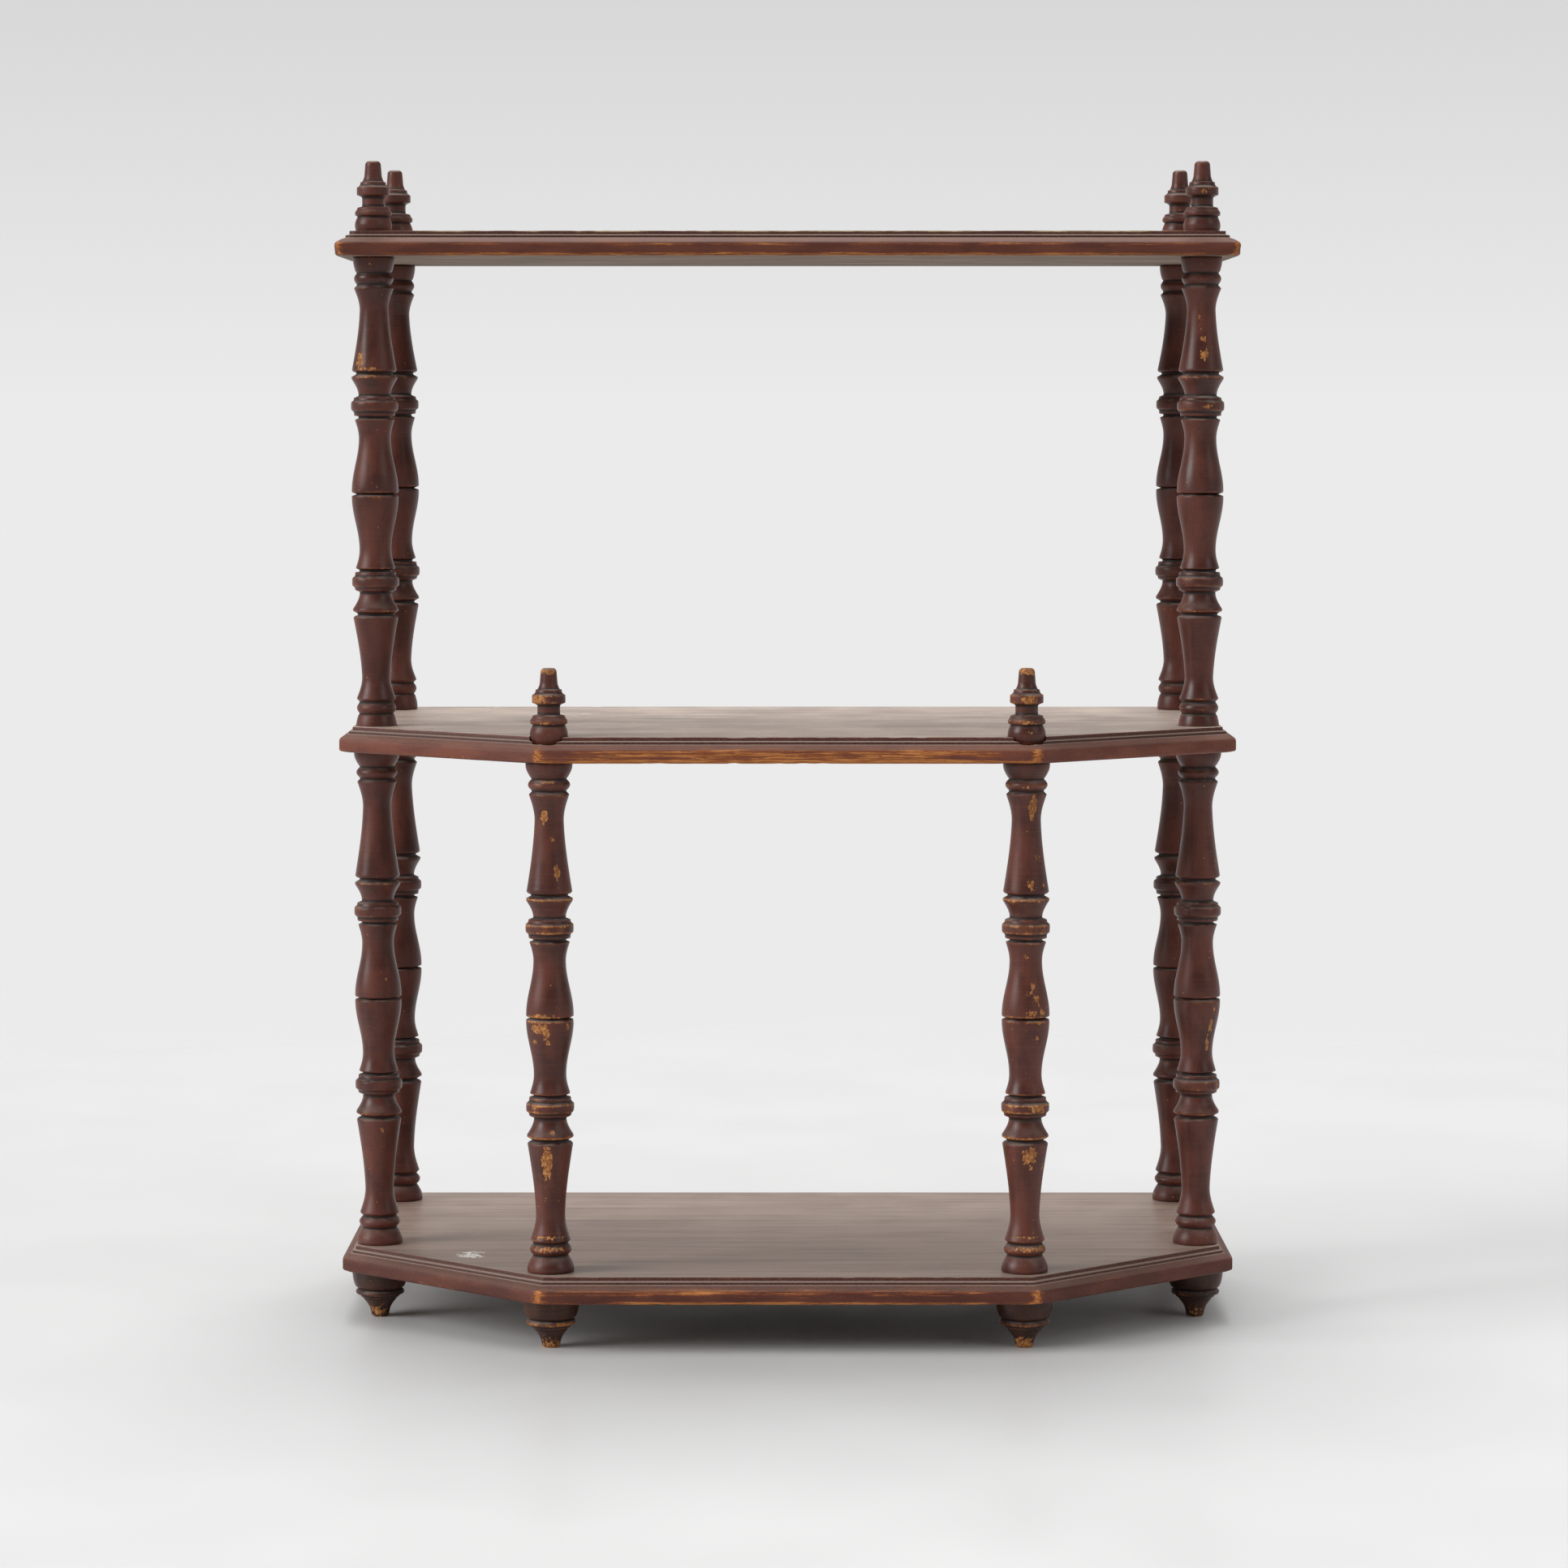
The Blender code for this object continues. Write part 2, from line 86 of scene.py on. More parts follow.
# %% Finish builder
class Finish:
    """A material built up node by node round its Principled shader."""

    def __init__(self, name, specular):
        self.material = bpy.data.materials.new(name)
        self.material.use_nodes = True
        self.nodes = self.material.node_tree.nodes
        self.links = self.material.node_tree.links
        self.shader = self.nodes["Principled BSDF"]
        self.shader.inputs["Specular IOR Level"].default_value = specular
        self.place = self.nodes.new("ShaderNodeTexCoord").outputs["Object"]

    def feed(self, socket, value):
        """Gives a socket a number, a colour or the output of another node."""
        if isinstance(value, bpy.types.NodeSocket):
            self.links.new(value, socket)
        elif socket.type == "RGBA":
            socket.default_value = (*value, 1.0)
        else:
            socket.default_value = value

    def add(self, kind, sockets, output=0, **settings):
        node = self.nodes.new("ShaderNode" + kind)
        for name, value in settings.items():
            setattr(node, name, value)
        for key, value in sockets.items():
            self.feed(node.inputs[key], value)
        return node.outputs[output]

    def math(self, operation, *values):
        return self.add("Math", dict(enumerate(values)), operation=operation)

    def weigh(self, start, *parts):
        """A start value plus each given value times its weight."""
        total = start
        for value, weight in parts:
            total = self.math("MULTIPLY_ADD", value, weight, total)
        return total

    def ramp(self, value, low, high, start=0.0, end=1.0):
        """A smooth step from start to end while a value goes from low to high."""
        ends = {"From Min": low, "From Max": high, "To Min": start, "To Max": end}
        return self.add("MapRange", {"Value": value, **ends}, interpolation_type="SMOOTHSTEP")

    def mix(self, share, under, over):
        """Mixes two colours. A Mix node's sockets 0, 6 and 7 are its share and its two colours."""
        return self.add("Mix", {0: share, 6: under, 7: over}, 2, data_type="RGBA")

    def scaled(self, size, seed):
        """Object coordinates in steps of a size in mm, as (x, y, z)."""
        steps = [1 / (length * MM) for length in size]
        return self.add("Mapping", {"Vector": self.place, "Location": (seed,) * 3, "Scale": steps})

    def noise(self, size, detail=3.0, roughness=0.5, seed=0.0):
        """Noise with features of a size in mm; most of it lies between 0.3 and 0.7."""
        settings = {"Scale": 1.0, "Detail": detail, "Roughness": roughness}
        return self.add("TexNoise", {"Vector": self.scaled(size, seed), **settings}, "Fac")

    def specks(self, spacing, radius, share, seed=0.0):
        """Scattered dots, of which only a share is kept, with sizes in mm."""
        where = self.scaled((spacing,) * 3, seed)
        node = self.nodes.new("ShaderNodeTexVoronoi")
        self.feed(node.inputs["Vector"], where)
        self.feed(node.inputs["Scale"], 1.0)
        dot = self.ramp(node.outputs["Distance"], radius / spacing, 0.5 * radius / spacing)
        chance = self.add("SeparateColor", {0: node.outputs["Color"]})
        return self.math("MULTIPLY", dot, self.math("LESS_THAN", chance, share))

    def attribute(self, name):
        return self.add("Attribute", {}, "Fac", attribute_name=name)

    def facing_up(self):
        """1 where the surface faces up, -1 where it faces down."""
        normal = self.add("NewGeometry", {}, "Normal")
        return self.add("SeparateXYZ", {0: normal}, "Z")

    def surface(self, colour, roughness, height):
        """Joins colour, roughness and a height in mm to the shader."""
        self.feed(self.shader.inputs["Base Color"], colour)
        self.feed(self.shader.inputs["Roughness"], roughness)
        bump = self.add("Bump", {"Height": height, "Distance": MM, "Strength": 1.0}, "Normal")
        self.feed(self.shader.inputs["Normal"], bump)
        return self.material


print("finish builder ready")

# %% [markdown]
# ## Floor
# The shelf stands on a pale, slightly glossy studio floor that runs into the backdrop without a line.
# A curved backdrop would hide the shelf from behind, so the floor is a flat disc that fades out far
# from the shelf and leaves the pale surroundings to show.

# %% Floor
FLOOR_RADIUS = 5.0
FLOOR_SIDES = 96
FLOOR_GREY = 0.675
FLOOR_GLOSS = 0.35
FLOOR_CLOUD = 180
FADE_START = 0.7
FADE_END = 1.7


def object_from(bm, name):
    """Ends a bmesh as an object at the origin of the scene."""
    mesh = bpy.data.meshes.new(name)
    bm.to_mesh(mesh)
    bm.free()
    piece = bpy.data.objects.new(name, mesh)
    scene.collection.objects.link(piece)
    return piece


def studio_floor():
    """A grey finish, cloudy in its gloss, that fades out with the distance from the shelf."""
    finish = Finish("studio_floor", FLOOR_GLOSS)
    finish.feed(finish.shader.inputs["Base Color"], (FLOOR_GREY,) * 3)
    cloud = finish.noise((FLOOR_CLOUD,) * 3, detail=4)
    finish.feed(finish.shader.inputs["Roughness"], finish.ramp(cloud, 0.3, 0.7, 0.34, 0.46))
    reach = finish.add("VectorMath", {0: finish.place}, "Value", operation="LENGTH")
    finish.feed(finish.shader.inputs["Alpha"], finish.ramp(reach, FADE_START, FADE_END, 1.0, 0.0))
    return finish.material


bm = bmesh.new()
bmesh.ops.create_circle(bm, cap_ends=True, segments=FLOOR_SIDES, radius=FLOOR_RADIUS)
floor = object_from(bm, "studio_floor")
floor.data.materials.append(studio_floor())
print("floor: radius", FLOOR_RADIUS, "m")

# %% [markdown]
# ## Surroundings and lamps
# The light is soft. Most of it comes from above, a little behind the shelf, so the floor is dark under
# it and in front of it. A low lamp on the left makes the posts brighter on that side, and a weak one
# fills in from the right. Area lamps near the shelf would fall off from one end of it to the other, so
# these are broad suns. The surroundings show the camera and the gloss a pale backdrop that darkens a
# little upwards, and light the shelf mostly from high up, through the Light Path node.

# %% Surroundings
BACKDROP_LOW = 0.83
BACKDROP_HIGH = 0.20
BACKDROP_RISE = 0.36
LIGHT_START = 0.20
LIGHT_HIGH = 1.12
world = bpy.data.worlds.new("studio")
world.use_nodes = True
scene.world = world


def backdrop(tree):
    """Joins what the surroundings show and the light that they give to the world's Background node."""
    nodes = tree.nodes
    links = tree.links
    direction = nodes.new("ShaderNodeTexCoord").outputs["Generated"]
    split = nodes.new("ShaderNodeSeparateXYZ")
    links.new(direction, split.inputs[0])
    rise = nodes.new("ShaderNodeMapRange")
    rise.inputs["From Max"].default_value = BACKDROP_RISE
    rise.inputs["To Min"].default_value = BACKDROP_LOW
    rise.inputs["To Max"].default_value = BACKDROP_HIGH
    links.new(split.outputs["Z"], rise.inputs["Value"])
    path = nodes.new("ShaderNodeLightPath")
    seen = path.outputs["Is Camera Ray"]
    for kind in ("Is Glossy Ray", "Is Transmission Ray"):
        join = nodes.new("ShaderNodeMath")
        join.operation = "MAXIMUM"
        links.new(seen, join.inputs[0])
        links.new(path.outputs[kind], join.inputs[1])
        seen = join.outputs[0]
    sky = nodes.new("ShaderNodeMapRange")
    sky.inputs["From Min"].default_value = LIGHT_START
    sky.inputs["To Max"].default_value = LIGHT_HIGH
    links.new(split.outputs["Z"], sky.inputs["Value"])
    mix = nodes.new("ShaderNodeMix")
    mix.data_type = "FLOAT"
    links.new(seen, mix.inputs[0])
    links.new(sky.outputs[0], mix.inputs[2])
    links.new(rise.outputs[0], mix.inputs[3])
    links.new(mix.outputs[0], nodes["Background"].inputs["Color"])


backdrop(world.node_tree)
print("surroundings: up to", LIGHT_HIGH, "on the shelf,", BACKDROP_LOW, "seen")

# %% Lamps
# Each lamp: degrees to the side of the camera, degrees up, and strength.
LAMPS = {
    "softbox_left": (-70, 26, 2.00),
    "softbox_right": (58, 28, 0.34),
    "softbox_back": (180, 66, 1.55),
}
SOFTNESS = math.radians(30)
for name, (sideways, upwards, strength) in LAMPS.items():
    lamp = bpy.data.lights.new(name, "SUN")
    lamp.angle = SOFTNESS
    lamp.energy = strength
    holder = bpy.data.objects.new(name, lamp)
    holder.rotation_euler = (math.radians(90 - upwards), 0.0, math.radians(sideways))
    scene.collection.objects.link(holder)
print("lamps:", ", ".join(LAMPS))

# %% [markdown]
# ## Worn stain on the turned pieces
# The turned wood has a dark red-brown stain with fine lines left by the gouge. It is worn where
# attributes on the mesh say so: wear on proud edges, chip where the finish was knocked off, and a
# darker colour in hollows. Noise is added to each attribute before a narrow step cuts it, which gives a
# torn edge between stain and bare wood, as on the real thing. Single specks are missing in between.
# Painted maps could do this, but would not fit other sizes.

# %% Worn stain
BARE_LIGHT = (0.62, 0.280, 0.086)
BARE_DEEP = (0.25, 0.080, 0.022)
RUBBED = (0.20, 0.062, 0.024)
HOLLOW_DARK = (0.018, 0.011, 0.009)
DUST = (0.25, 0.205, 0.18)
STAIN_GLOSS = 0.34


def worn_stain(name, deep, light, seed):
    """A stain between two colours, with bare wood, darkened hollows and dust; the seed sets its own
    pattern.
    """
    finish = Finish(name, STAIN_GLOSS)
    wear = finish.attribute("wear")
    chip = finish.attribute("chip")
    hollow_dark = finish.attribute("hollow_dark")
    blotch = finish.noise((16, 16, 26), 4.0, seed=seed)
    rings = finish.noise((40, 40, 0.5), 2.0, seed=seed + 3)
    streak = finish.noise((1.6, 1.6, 34), 3.0, seed=seed + 7)
    crumb = finish.noise((1.5, 1.5, 1.9), 4.0, 0.65, seed=seed + 11)
    patch = finish.noise((8, 8, 6), 2.0, seed=seed + 17)
    stain = finish.mix(finish.ramp(blotch, 0.32, 0.68), deep, light)
    stain = finish.mix(finish.ramp(streak, 0.48, 0.75, 0.0, 0.45), stain, deep)
    stain = finish.mix(finish.ramp(rings, 0.50, 0.70, 0.0, 0.22), stain, RUBBED)
    grain = finish.noise((0.9, 0.9, 0.7), 3.0, 0.7, seed=seed + 23)
    stain = finish.mix(finish.ramp(grain, 0.52, 0.78, 0.0, 0.40), stain, light)
    stain = finish.mix(finish.ramp(grain, 0.48, 0.26, 0.0, 0.40), stain, deep)
    torn = finish.weigh(-1.15, (wear, 1.0), (crumb, 0.70), (patch, 1.30))
    rubbed = finish.ramp(torn, 0.22, 0.60)
    bare = finish.ramp(torn, 0.56, 0.68)
    knocked = finish.ramp(finish.weigh(-1.35, (chip, 1.0), (crumb, 1.6), (streak, 1.1)), 0.42, 0.54)
    dots = finish.math("MULTIPLY", finish.specks(4.0, 0.60, 0.34, seed), finish.ramp(patch, 0.44, 0.56))
    bare = finish.math("MAXIMUM", finish.math("MAXIMUM", bare, knocked), dots)
    wood = finish.mix(finish.ramp(crumb, 0.38, 0.66), BARE_DEEP, BARE_LIGHT)
    wood = finish.mix(finish.ramp(streak, 0.50, 0.66, 0.0, 0.6), wood, BARE_DEEP)
    colour = finish.mix(rubbed, stain, RUBBED)
    colour = finish.mix(bare, colour, wood)
    # Grooves and inner corners are made darker, nearly black.
    darkened = finish.ramp(finish.weigh(-0.30, (hollow_dark, 1.0), (crumb, 0.6)), 0.20, 0.65, 0.0, 0.92)
    colour = finish.mix(darkened, colour, HOLLOW_DARK)
    ledge = finish.ramp(finish.facing_up(), 0.28, 0.90, 0.0, 0.70)
    dusty = finish.math("MULTIPLY", ledge, finish.ramp(patch, 0.34, 0.62, 0.15, 1.0))
    colour = finish.mix(dusty, colour, DUST)
    sheen = finish.ramp(blotch, 0.35, 0.65, 0.33, 0.45)
    rough = finish.weigh(sheen, (bare, 0.24), (dusty, 0.40), (darkened, 0.20))
    height = finish.weigh(0.0, (rings, 0.040), (crumb, 0.050), (bare, -0.10), (streak, 0.02))
    return finish.surface(colour, rough, height)


# The feet's stain is darker partly as painted shade, for the shadow of the bottom board over them.
STAINS = {
    "spindle_stain": worn_stain("spindle_stain", (0.058, 0.0140, 0.0090), (0.130, 0.0360, 0.0230), 1.0),
    "finial_stain": worn_stain("finial_stain", (0.062, 0.0160, 0.0100), (0.136, 0.0395, 0.0250), 31.0),
    "foot_stain": worn_stain("foot_stain", (0.028, 0.0096, 0.0058), (0.074, 0.0262, 0.0142), 61.0),
}
print("stains:", ", ".join(STAINS))

# %% [markdown]
# ## Cutting lists
# A turner works from a list of cuts along the axis. Each row here is one cut: how long it is, the
# diameter it ends at, its shape, and how much handling has rubbed it. The lists were measured on the
# picture. A subdivision surface could round such a profile too, but it would soften the crisp quirks
# between the beads, so each curve is written as its own cut.

# %% Shapes of a cut
def straight(t):
    return t


def swell(t):
    """Leaves and arrives along the axis."""
    return (1 - math.cos(math.pi * t)) / 2


def flare(t):
    """Leaves along the axis and arrives steeply."""
    return 1 - math.cos(math.pi * t / 2)


def hollow(t):
    """Leaves steeply and arrives along the axis."""
    return math.sin(math.pi * t / 2)


def bowl(t):
    """A quarter of a circle: leaves along the axis and turns in late."""
    return 1 - math.sqrt(1 - t * t)


def vase(t):
    """A hollow cut that keeps a little slope at its end."""
    return 0.7 * hollow(t) + 0.3 * t


CURVE_STEP = 1.4


def outline_of(diameter, cuts):
    """Points (distance along the axis, radius, rub) in mm, from a list of cuts."""
    points = [(0.0, diameter / 2, 0.0)]
    for length, end, shape, rub in cuts:
        start, radius, _ = points[-1]
        steps = 1 if shape is straight else max(4, round(length / CURVE_STEP))
        for step in range(1, steps + 1):
            t = step / steps
            points.append((start + length * t, radius + (end / 2 - radius) * shape(t), rub))
    return points


print("shapes of a cut ready")

# %% [markdown]
# ## Spindle
# A spindle is the same above and below its middle groove: a belly, a flared rim, a collar with a band,
# a lip, a long vase, a bead and a cup. The lower and the upper spindles could have a list each. Here
# the vase takes up what the other cuts leave of the length, so one list serves both, and only the bead
# and the cup at the ends have diameters of their own.

# %% Spindle cuts
MIDDLE_GROOVE = 22.0
VASE_NECK_SHARE = 0.735
LOWER_ENDS = (25.0, 27.8)
UPPER_ENDS = (23.9, 25.0)
TRIAL_LENGTH = 300.0


def half_spindle(length, bead, cup):
    """Outline in mm from the middle groove to the end, with a bead and a cup of these diameters."""
    inner = [
        (1.0, 27.9, straight, 0.00),
        (0.5, 28.3, straight, 0.22),
        (32.3, 19.3, swell, 0.00),
        (11.1, 24.0, flare, 0.00),
        (0.9, 19.6, straight, 0.00),
        (1.2, 19.6, straight, 0.00),
        (0.3, 24.8, straight, -0.10),
        (2.2, 25.0, straight, 0.00),
        (1.4, 28.3, straight, 0.34),
        (2.25, 28.6, straight, 0.16),
        (2.25, 28.3, straight, 0.34),
        (1.2, 25.4, straight, 0.00),
        (1.5, 25.0, straight, -0.10),
        (1.2, 19.3, straight, 0.00),
        (10.2, 27.6, flare, 0.00),
        (1.2, 27.8, straight, 0.48),
        (1.6, 22.0, straight, 0.00),
        (1.1, 22.0, straight, 0.00),
        (0.4, 25.4, straight, -0.30),
        (1.0, 27.2, straight, -0.10),
    ]
    outer = [
        (1.7, 20.6, straight, 0.00),
        (0.6, 20.6, straight, 0.00),
        (3.4, bead, hollow, 0.14),
        (3.4, 20.5, flare, 0.14),
        (1.2, 22.4, straight, -0.30),
        (7.0, cup, hollow, -0.10),
        (1.5, cup, straight, -0.90),
    ]
    left = length - sum(cut[0] for cut in inner + outer)
    neck = left * VASE_NECK_SHARE
    body = [(neck, 17.3, vase, 0.00), (left - neck, 24.0, flare, 0.00)]
    return outline_of(MIDDLE_GROOVE, inner + body + outer)


def spindle_outline(length, bead, cup):
    """A whole spindle from its top down, in mm."""
    half = half_spindle(length / 2, bead, cup)
    upper = [(length / 2 - distance, radius, rub) for distance, radius, rub in reversed(half)]
    lower = [(length / 2 + distance, radius, rub) for distance, radius, rub in half[1:]]
    return upper + lower


print("spindle:", len(spindle_outline(TRIAL_LENGTH, *LOWER_ENDS)), "points in its outline")

# %% [markdown]
# ## Finial and foot
# A finial is a ball, a ring, a drum on a coved neck and a short spire. A foot is a cup, a ring and a
# spike with a blunt tip. They could be drawn as curves, but a list of cuts can be read and changed as
# the spindle's can. The finial's cuts start at its base and are then turned round, so every outline runs
# from the top down. Both are closed on the axis at their free end.

# %% Finial and foot cuts
FINIAL_BASE = 19.0
BALL = 22.5
FINIAL_CUTS = [
    (5.9, BALL, hollow, 0.05),
    (5.3, 19.0, flare, 0.05),
    (0.8, 22.0, straight, 0.05),
    (1.7, 22.3, straight, 0.14),
    (2.0, 19.6, straight, 0.00),
    (0.9, 19.2, straight, 0.05),
    (0.7, 13.5, straight, 0.00),
    (5.1, 13.5, straight, 0.00),
    (1.8, 19.8, flare, 0.05),
    (4.4, 19.8, straight, 0.22),
    (2.0, 15.7, hollow, 0.05),
    (1.3, 15.4, straight, 0.05),
    (0.3, 13.0, straight, 0.00),
    (4.2, 10.4, hollow, 0.05),
    (6.2, 9.4, straight, 0.26),
    (1.0, 8.7, straight, 1.00),
    (0.9, 6.5, straight, 1.00),
]
FOOT_TOP = 34.2
FOOT_CUTS = [
    (12.6, 26.6, bowl, 0.00),
    (0.5, 26.4, straight, 0.00),
    (0.4, 28.6, straight, 0.05),
    (1.2, 30.0, straight, 0.02),
    (1.2, 28.6, straight, 0.02),
    (0.4, 24.4, straight, 0.00),
    (1.5, 23.4, straight, 0.16),
    (0.5, 20.8, straight, 0.00),
    (1.0, 20.0, straight, 0.10),
    (6.9, 11.8, vase, 0.24),
    (2.8, 10.6, straight, 0.46),
    (1.0, 9.0, straight, 0.62),
]
finial = outline_of(FINIAL_BASE, FINIAL_CUTS)
finial_height = finial[-1][0]
FINIAL_OUTLINE = [(0.0, 0.0, 0.0)]
for distance, radius, rub in reversed(finial):
    FINIAL_OUTLINE.append((finial_height - distance, radius, rub))
FOOT_OUTLINE = outline_of(FOOT_TOP, FOOT_CUTS)
foot_height = FOOT_OUTLINE[-1][0]
FOOT_OUTLINE.append((foot_height, 0.0, 0.0))
print("finial:", round(finial_height, 1), "mm high; foot:", round(foot_height, 1), "mm high")

# %% [markdown]
# ## Pegs and sockets
# Each spindle and finial has a round peg that passes through the board under it and seats in a socket
# in the piece below. They are hidden when the shelf is together, but a library part can be taken apart,
# so the outline goes on round them and every turned piece is one closed shell.

# %% Peg and socket
PEG_RADIUS = 6.0
PEG_CHAMFER = 1.0
PEG_LENGTH = 24.6
SOCKET_RADIUS = 6.3
SOCKET_DEPTH = 9.5


def with_socket(outline):
    """Puts a blind socket into the top of an outline."""
    socket = [(SOCKET_DEPTH, 0.0), (SOCKET_DEPTH, SOCKET_RADIUS), (0.0, SOCKET_RADIUS)]
    return [(distance, radius, 0.0) for distance, radius in socket] + outline


def with_peg(outline, let_in):
    """Adds a peg under an outline, shorter by the depth to which the piece is let into its board."""
    shoulder = outline[-1][0]
    end = shoulder + PEG_LENGTH - let_in
    chamfer = end - PEG_CHAMFER
    peg = [(shoulder, PEG_RADIUS), (chamfer, PEG_RADIUS), (end, PEG_RADIUS - PEG_CHAMFER), (end, 0.0)]
    return outline + [(distance, radius, 0.0) for distance, radius in peg]


print("pegs:", 2 * PEG_RADIUS, "mm across")

# %% [markdown]
# ## From outline to turned wood
# The outline becomes a wire, its sharp corners are rounded with a vertex bevel, long stretches are
# subdivided, and a spin sweeps it round the axis. A Screw modifier could sweep it too, but the spin
# leaves a mesh that can be knocked about point by point. Before the spin, every point measures how far
# it stands proud of the points beside it. Proud points wear, and sunk points are made darker. That is one
# number per point of the wire for each, and the spin carries it all the way round.

# %% Wire of an outline
CORNER_ROUNDING = 0.28 * MM
ROUNDING_SHARE = 0.45
CORNER_ANGLE = math.radians(22)
LONGEST_STRETCH = 1.7 * MM


def wire_of(outline):
    """A wire in the XZ plane with its top at zero, and its corners rounded."""
    bm = bmesh.new()
    rub = bm.verts.layers.float.new("rub")
    points = [bm.verts.new((radius * MM, 0.0, -distance * MM)) for distance, radius, _ in outline]
    for point, (_, _, amount) in zip(points, outline):
        point[rub] = amount
    for pair in zip(points, points[1:]):
        bm.edges.new(pair)
    corners = []
    for before, point, after in zip(points, points[1:], points[2:]):
        into = point.co - before.co
        out = after.co - point.co
        if into.angle(out) > CORNER_ANGLE:
            corners.append(point)
    for corner in corners:
        shortest = min(edge.calc_length() for edge in corner.link_edges)
        bmesh.ops.bevel(
            bm,
            geom=[corner],
            offset=min(CORNER_ROUNDING, ROUNDING_SHARE * shortest),
            offset_type="OFFSET",
            affect="VERTICES",
            segments=2,
            profile=0.5,
            material=-1,
        )
    for edge in bm.edges[:]:
        cuts = math.ceil(edge.calc_length() / LONGEST_STRETCH) - 1
        if cuts > 0:
            bmesh.ops.subdivide_edges(bm, edges=[edge], cuts=cuts)
    return bm


def walk(bm):
    """The points of a wire in order, from its upper end on the axis to its lower one."""
    ends = [point for point in bm.verts if len(point.link_edges) == 1]
    point = max(ends, key=lambda end: end.co.z)
    order = [point]
    edge = None
    while True:
        onward = [step for step in point.link_edges if step is not edge]
        if not onward:
            return order
        edge = onward[0]
        point = edge.other_vert(point)
        order.append(point)


trial = wire_of(with_peg(FINIAL_OUTLINE, 0.0))
print("finial wire:", len(walk(trial)), "points")
trial.free()

# %% Wear and darkened hollows along a wire
NEAR = 1.1 * MM
FAR = 4.5 * MM
GROOVE = 1.6 * MM
WEAR_ON_EDGE = 1.05
WEAR_ON_SWELL = 0.35
# How much darker grooves and inner corners are made.
DARK_IN_GROOVE = 1.9
DARK_IN_CORNER = 1.5


def proudness(places, reach):
    """How far each place stands proud of those a reach before and after it, as a share of the reach."""
    gone = [0.0]
    for one, other in zip(places, places[1:]):
        gone.append(gone[-1] + (other - one).length)

    def at(distance):
        distance = min(max(distance, 0.0), gone[-1])
        index = min(bisect.bisect_right(gone, distance), len(gone) - 1)
        span = gone[index] - gone[index - 1]
        share = (distance - gone[index - 1]) / span if span else 0.0
        return places[index - 1].lerp(places[index], share)

    proud = []
    for place, distance in zip(places, gone):
        before = at(distance - reach)
        after = at(distance + reach)
        along = (after - before).normalized()
        outward = Vector((-along.z, 0.0, along.x))
        proud.append((place - (before + after) / 2).dot(outward) / reach)
    return proud


def mark_wear(bm, handling):
    """Writes wear and darkened hollows on a wire, from its corners and from how much it is handled."""
    rub = bm.verts.layers.float["rub"]
    wear = bm.verts.layers.float.new("wear")
    hollow_dark = bm.verts.layers.float.new("hollow_dark")
    order = walk(bm)
    places = [point.co.copy() for point in order]
    near = proudness(places, NEAR)
    far = proudness(places, FAR)
    groove = proudness(places, GROOVE)
    for point, edge, swelling, sunk in zip(order, near, far, groove):
        worn = WEAR_ON_EDGE * max(edge, 0.0) + WEAR_ON_SWELL * max(swelling, 0.0) + point[rub]
        point[wear] = handling * min(max(worn, 0.0), 1.0)
        point[hollow_dark] = min(max(-DARK_IN_GROOVE * sunk, -DARK_IN_CORNER * edge, 0.0), 1.0)


print("wear reaches", FAR / MM, "mm from an edge")

# %% [markdown]
# ## Knocks
# Some posts have lost flakes of stain. Noise alone would scatter them anywhere, so each is listed: its
# height above the floor in metres, its direction round the post with -90 at the front, its width and
# height in mm, and how much of the stain has gone. They are marked on the mesh as a soft spot, cut to a
# torn shape by the finish, and pressed in a little, since the flake took wood with it.

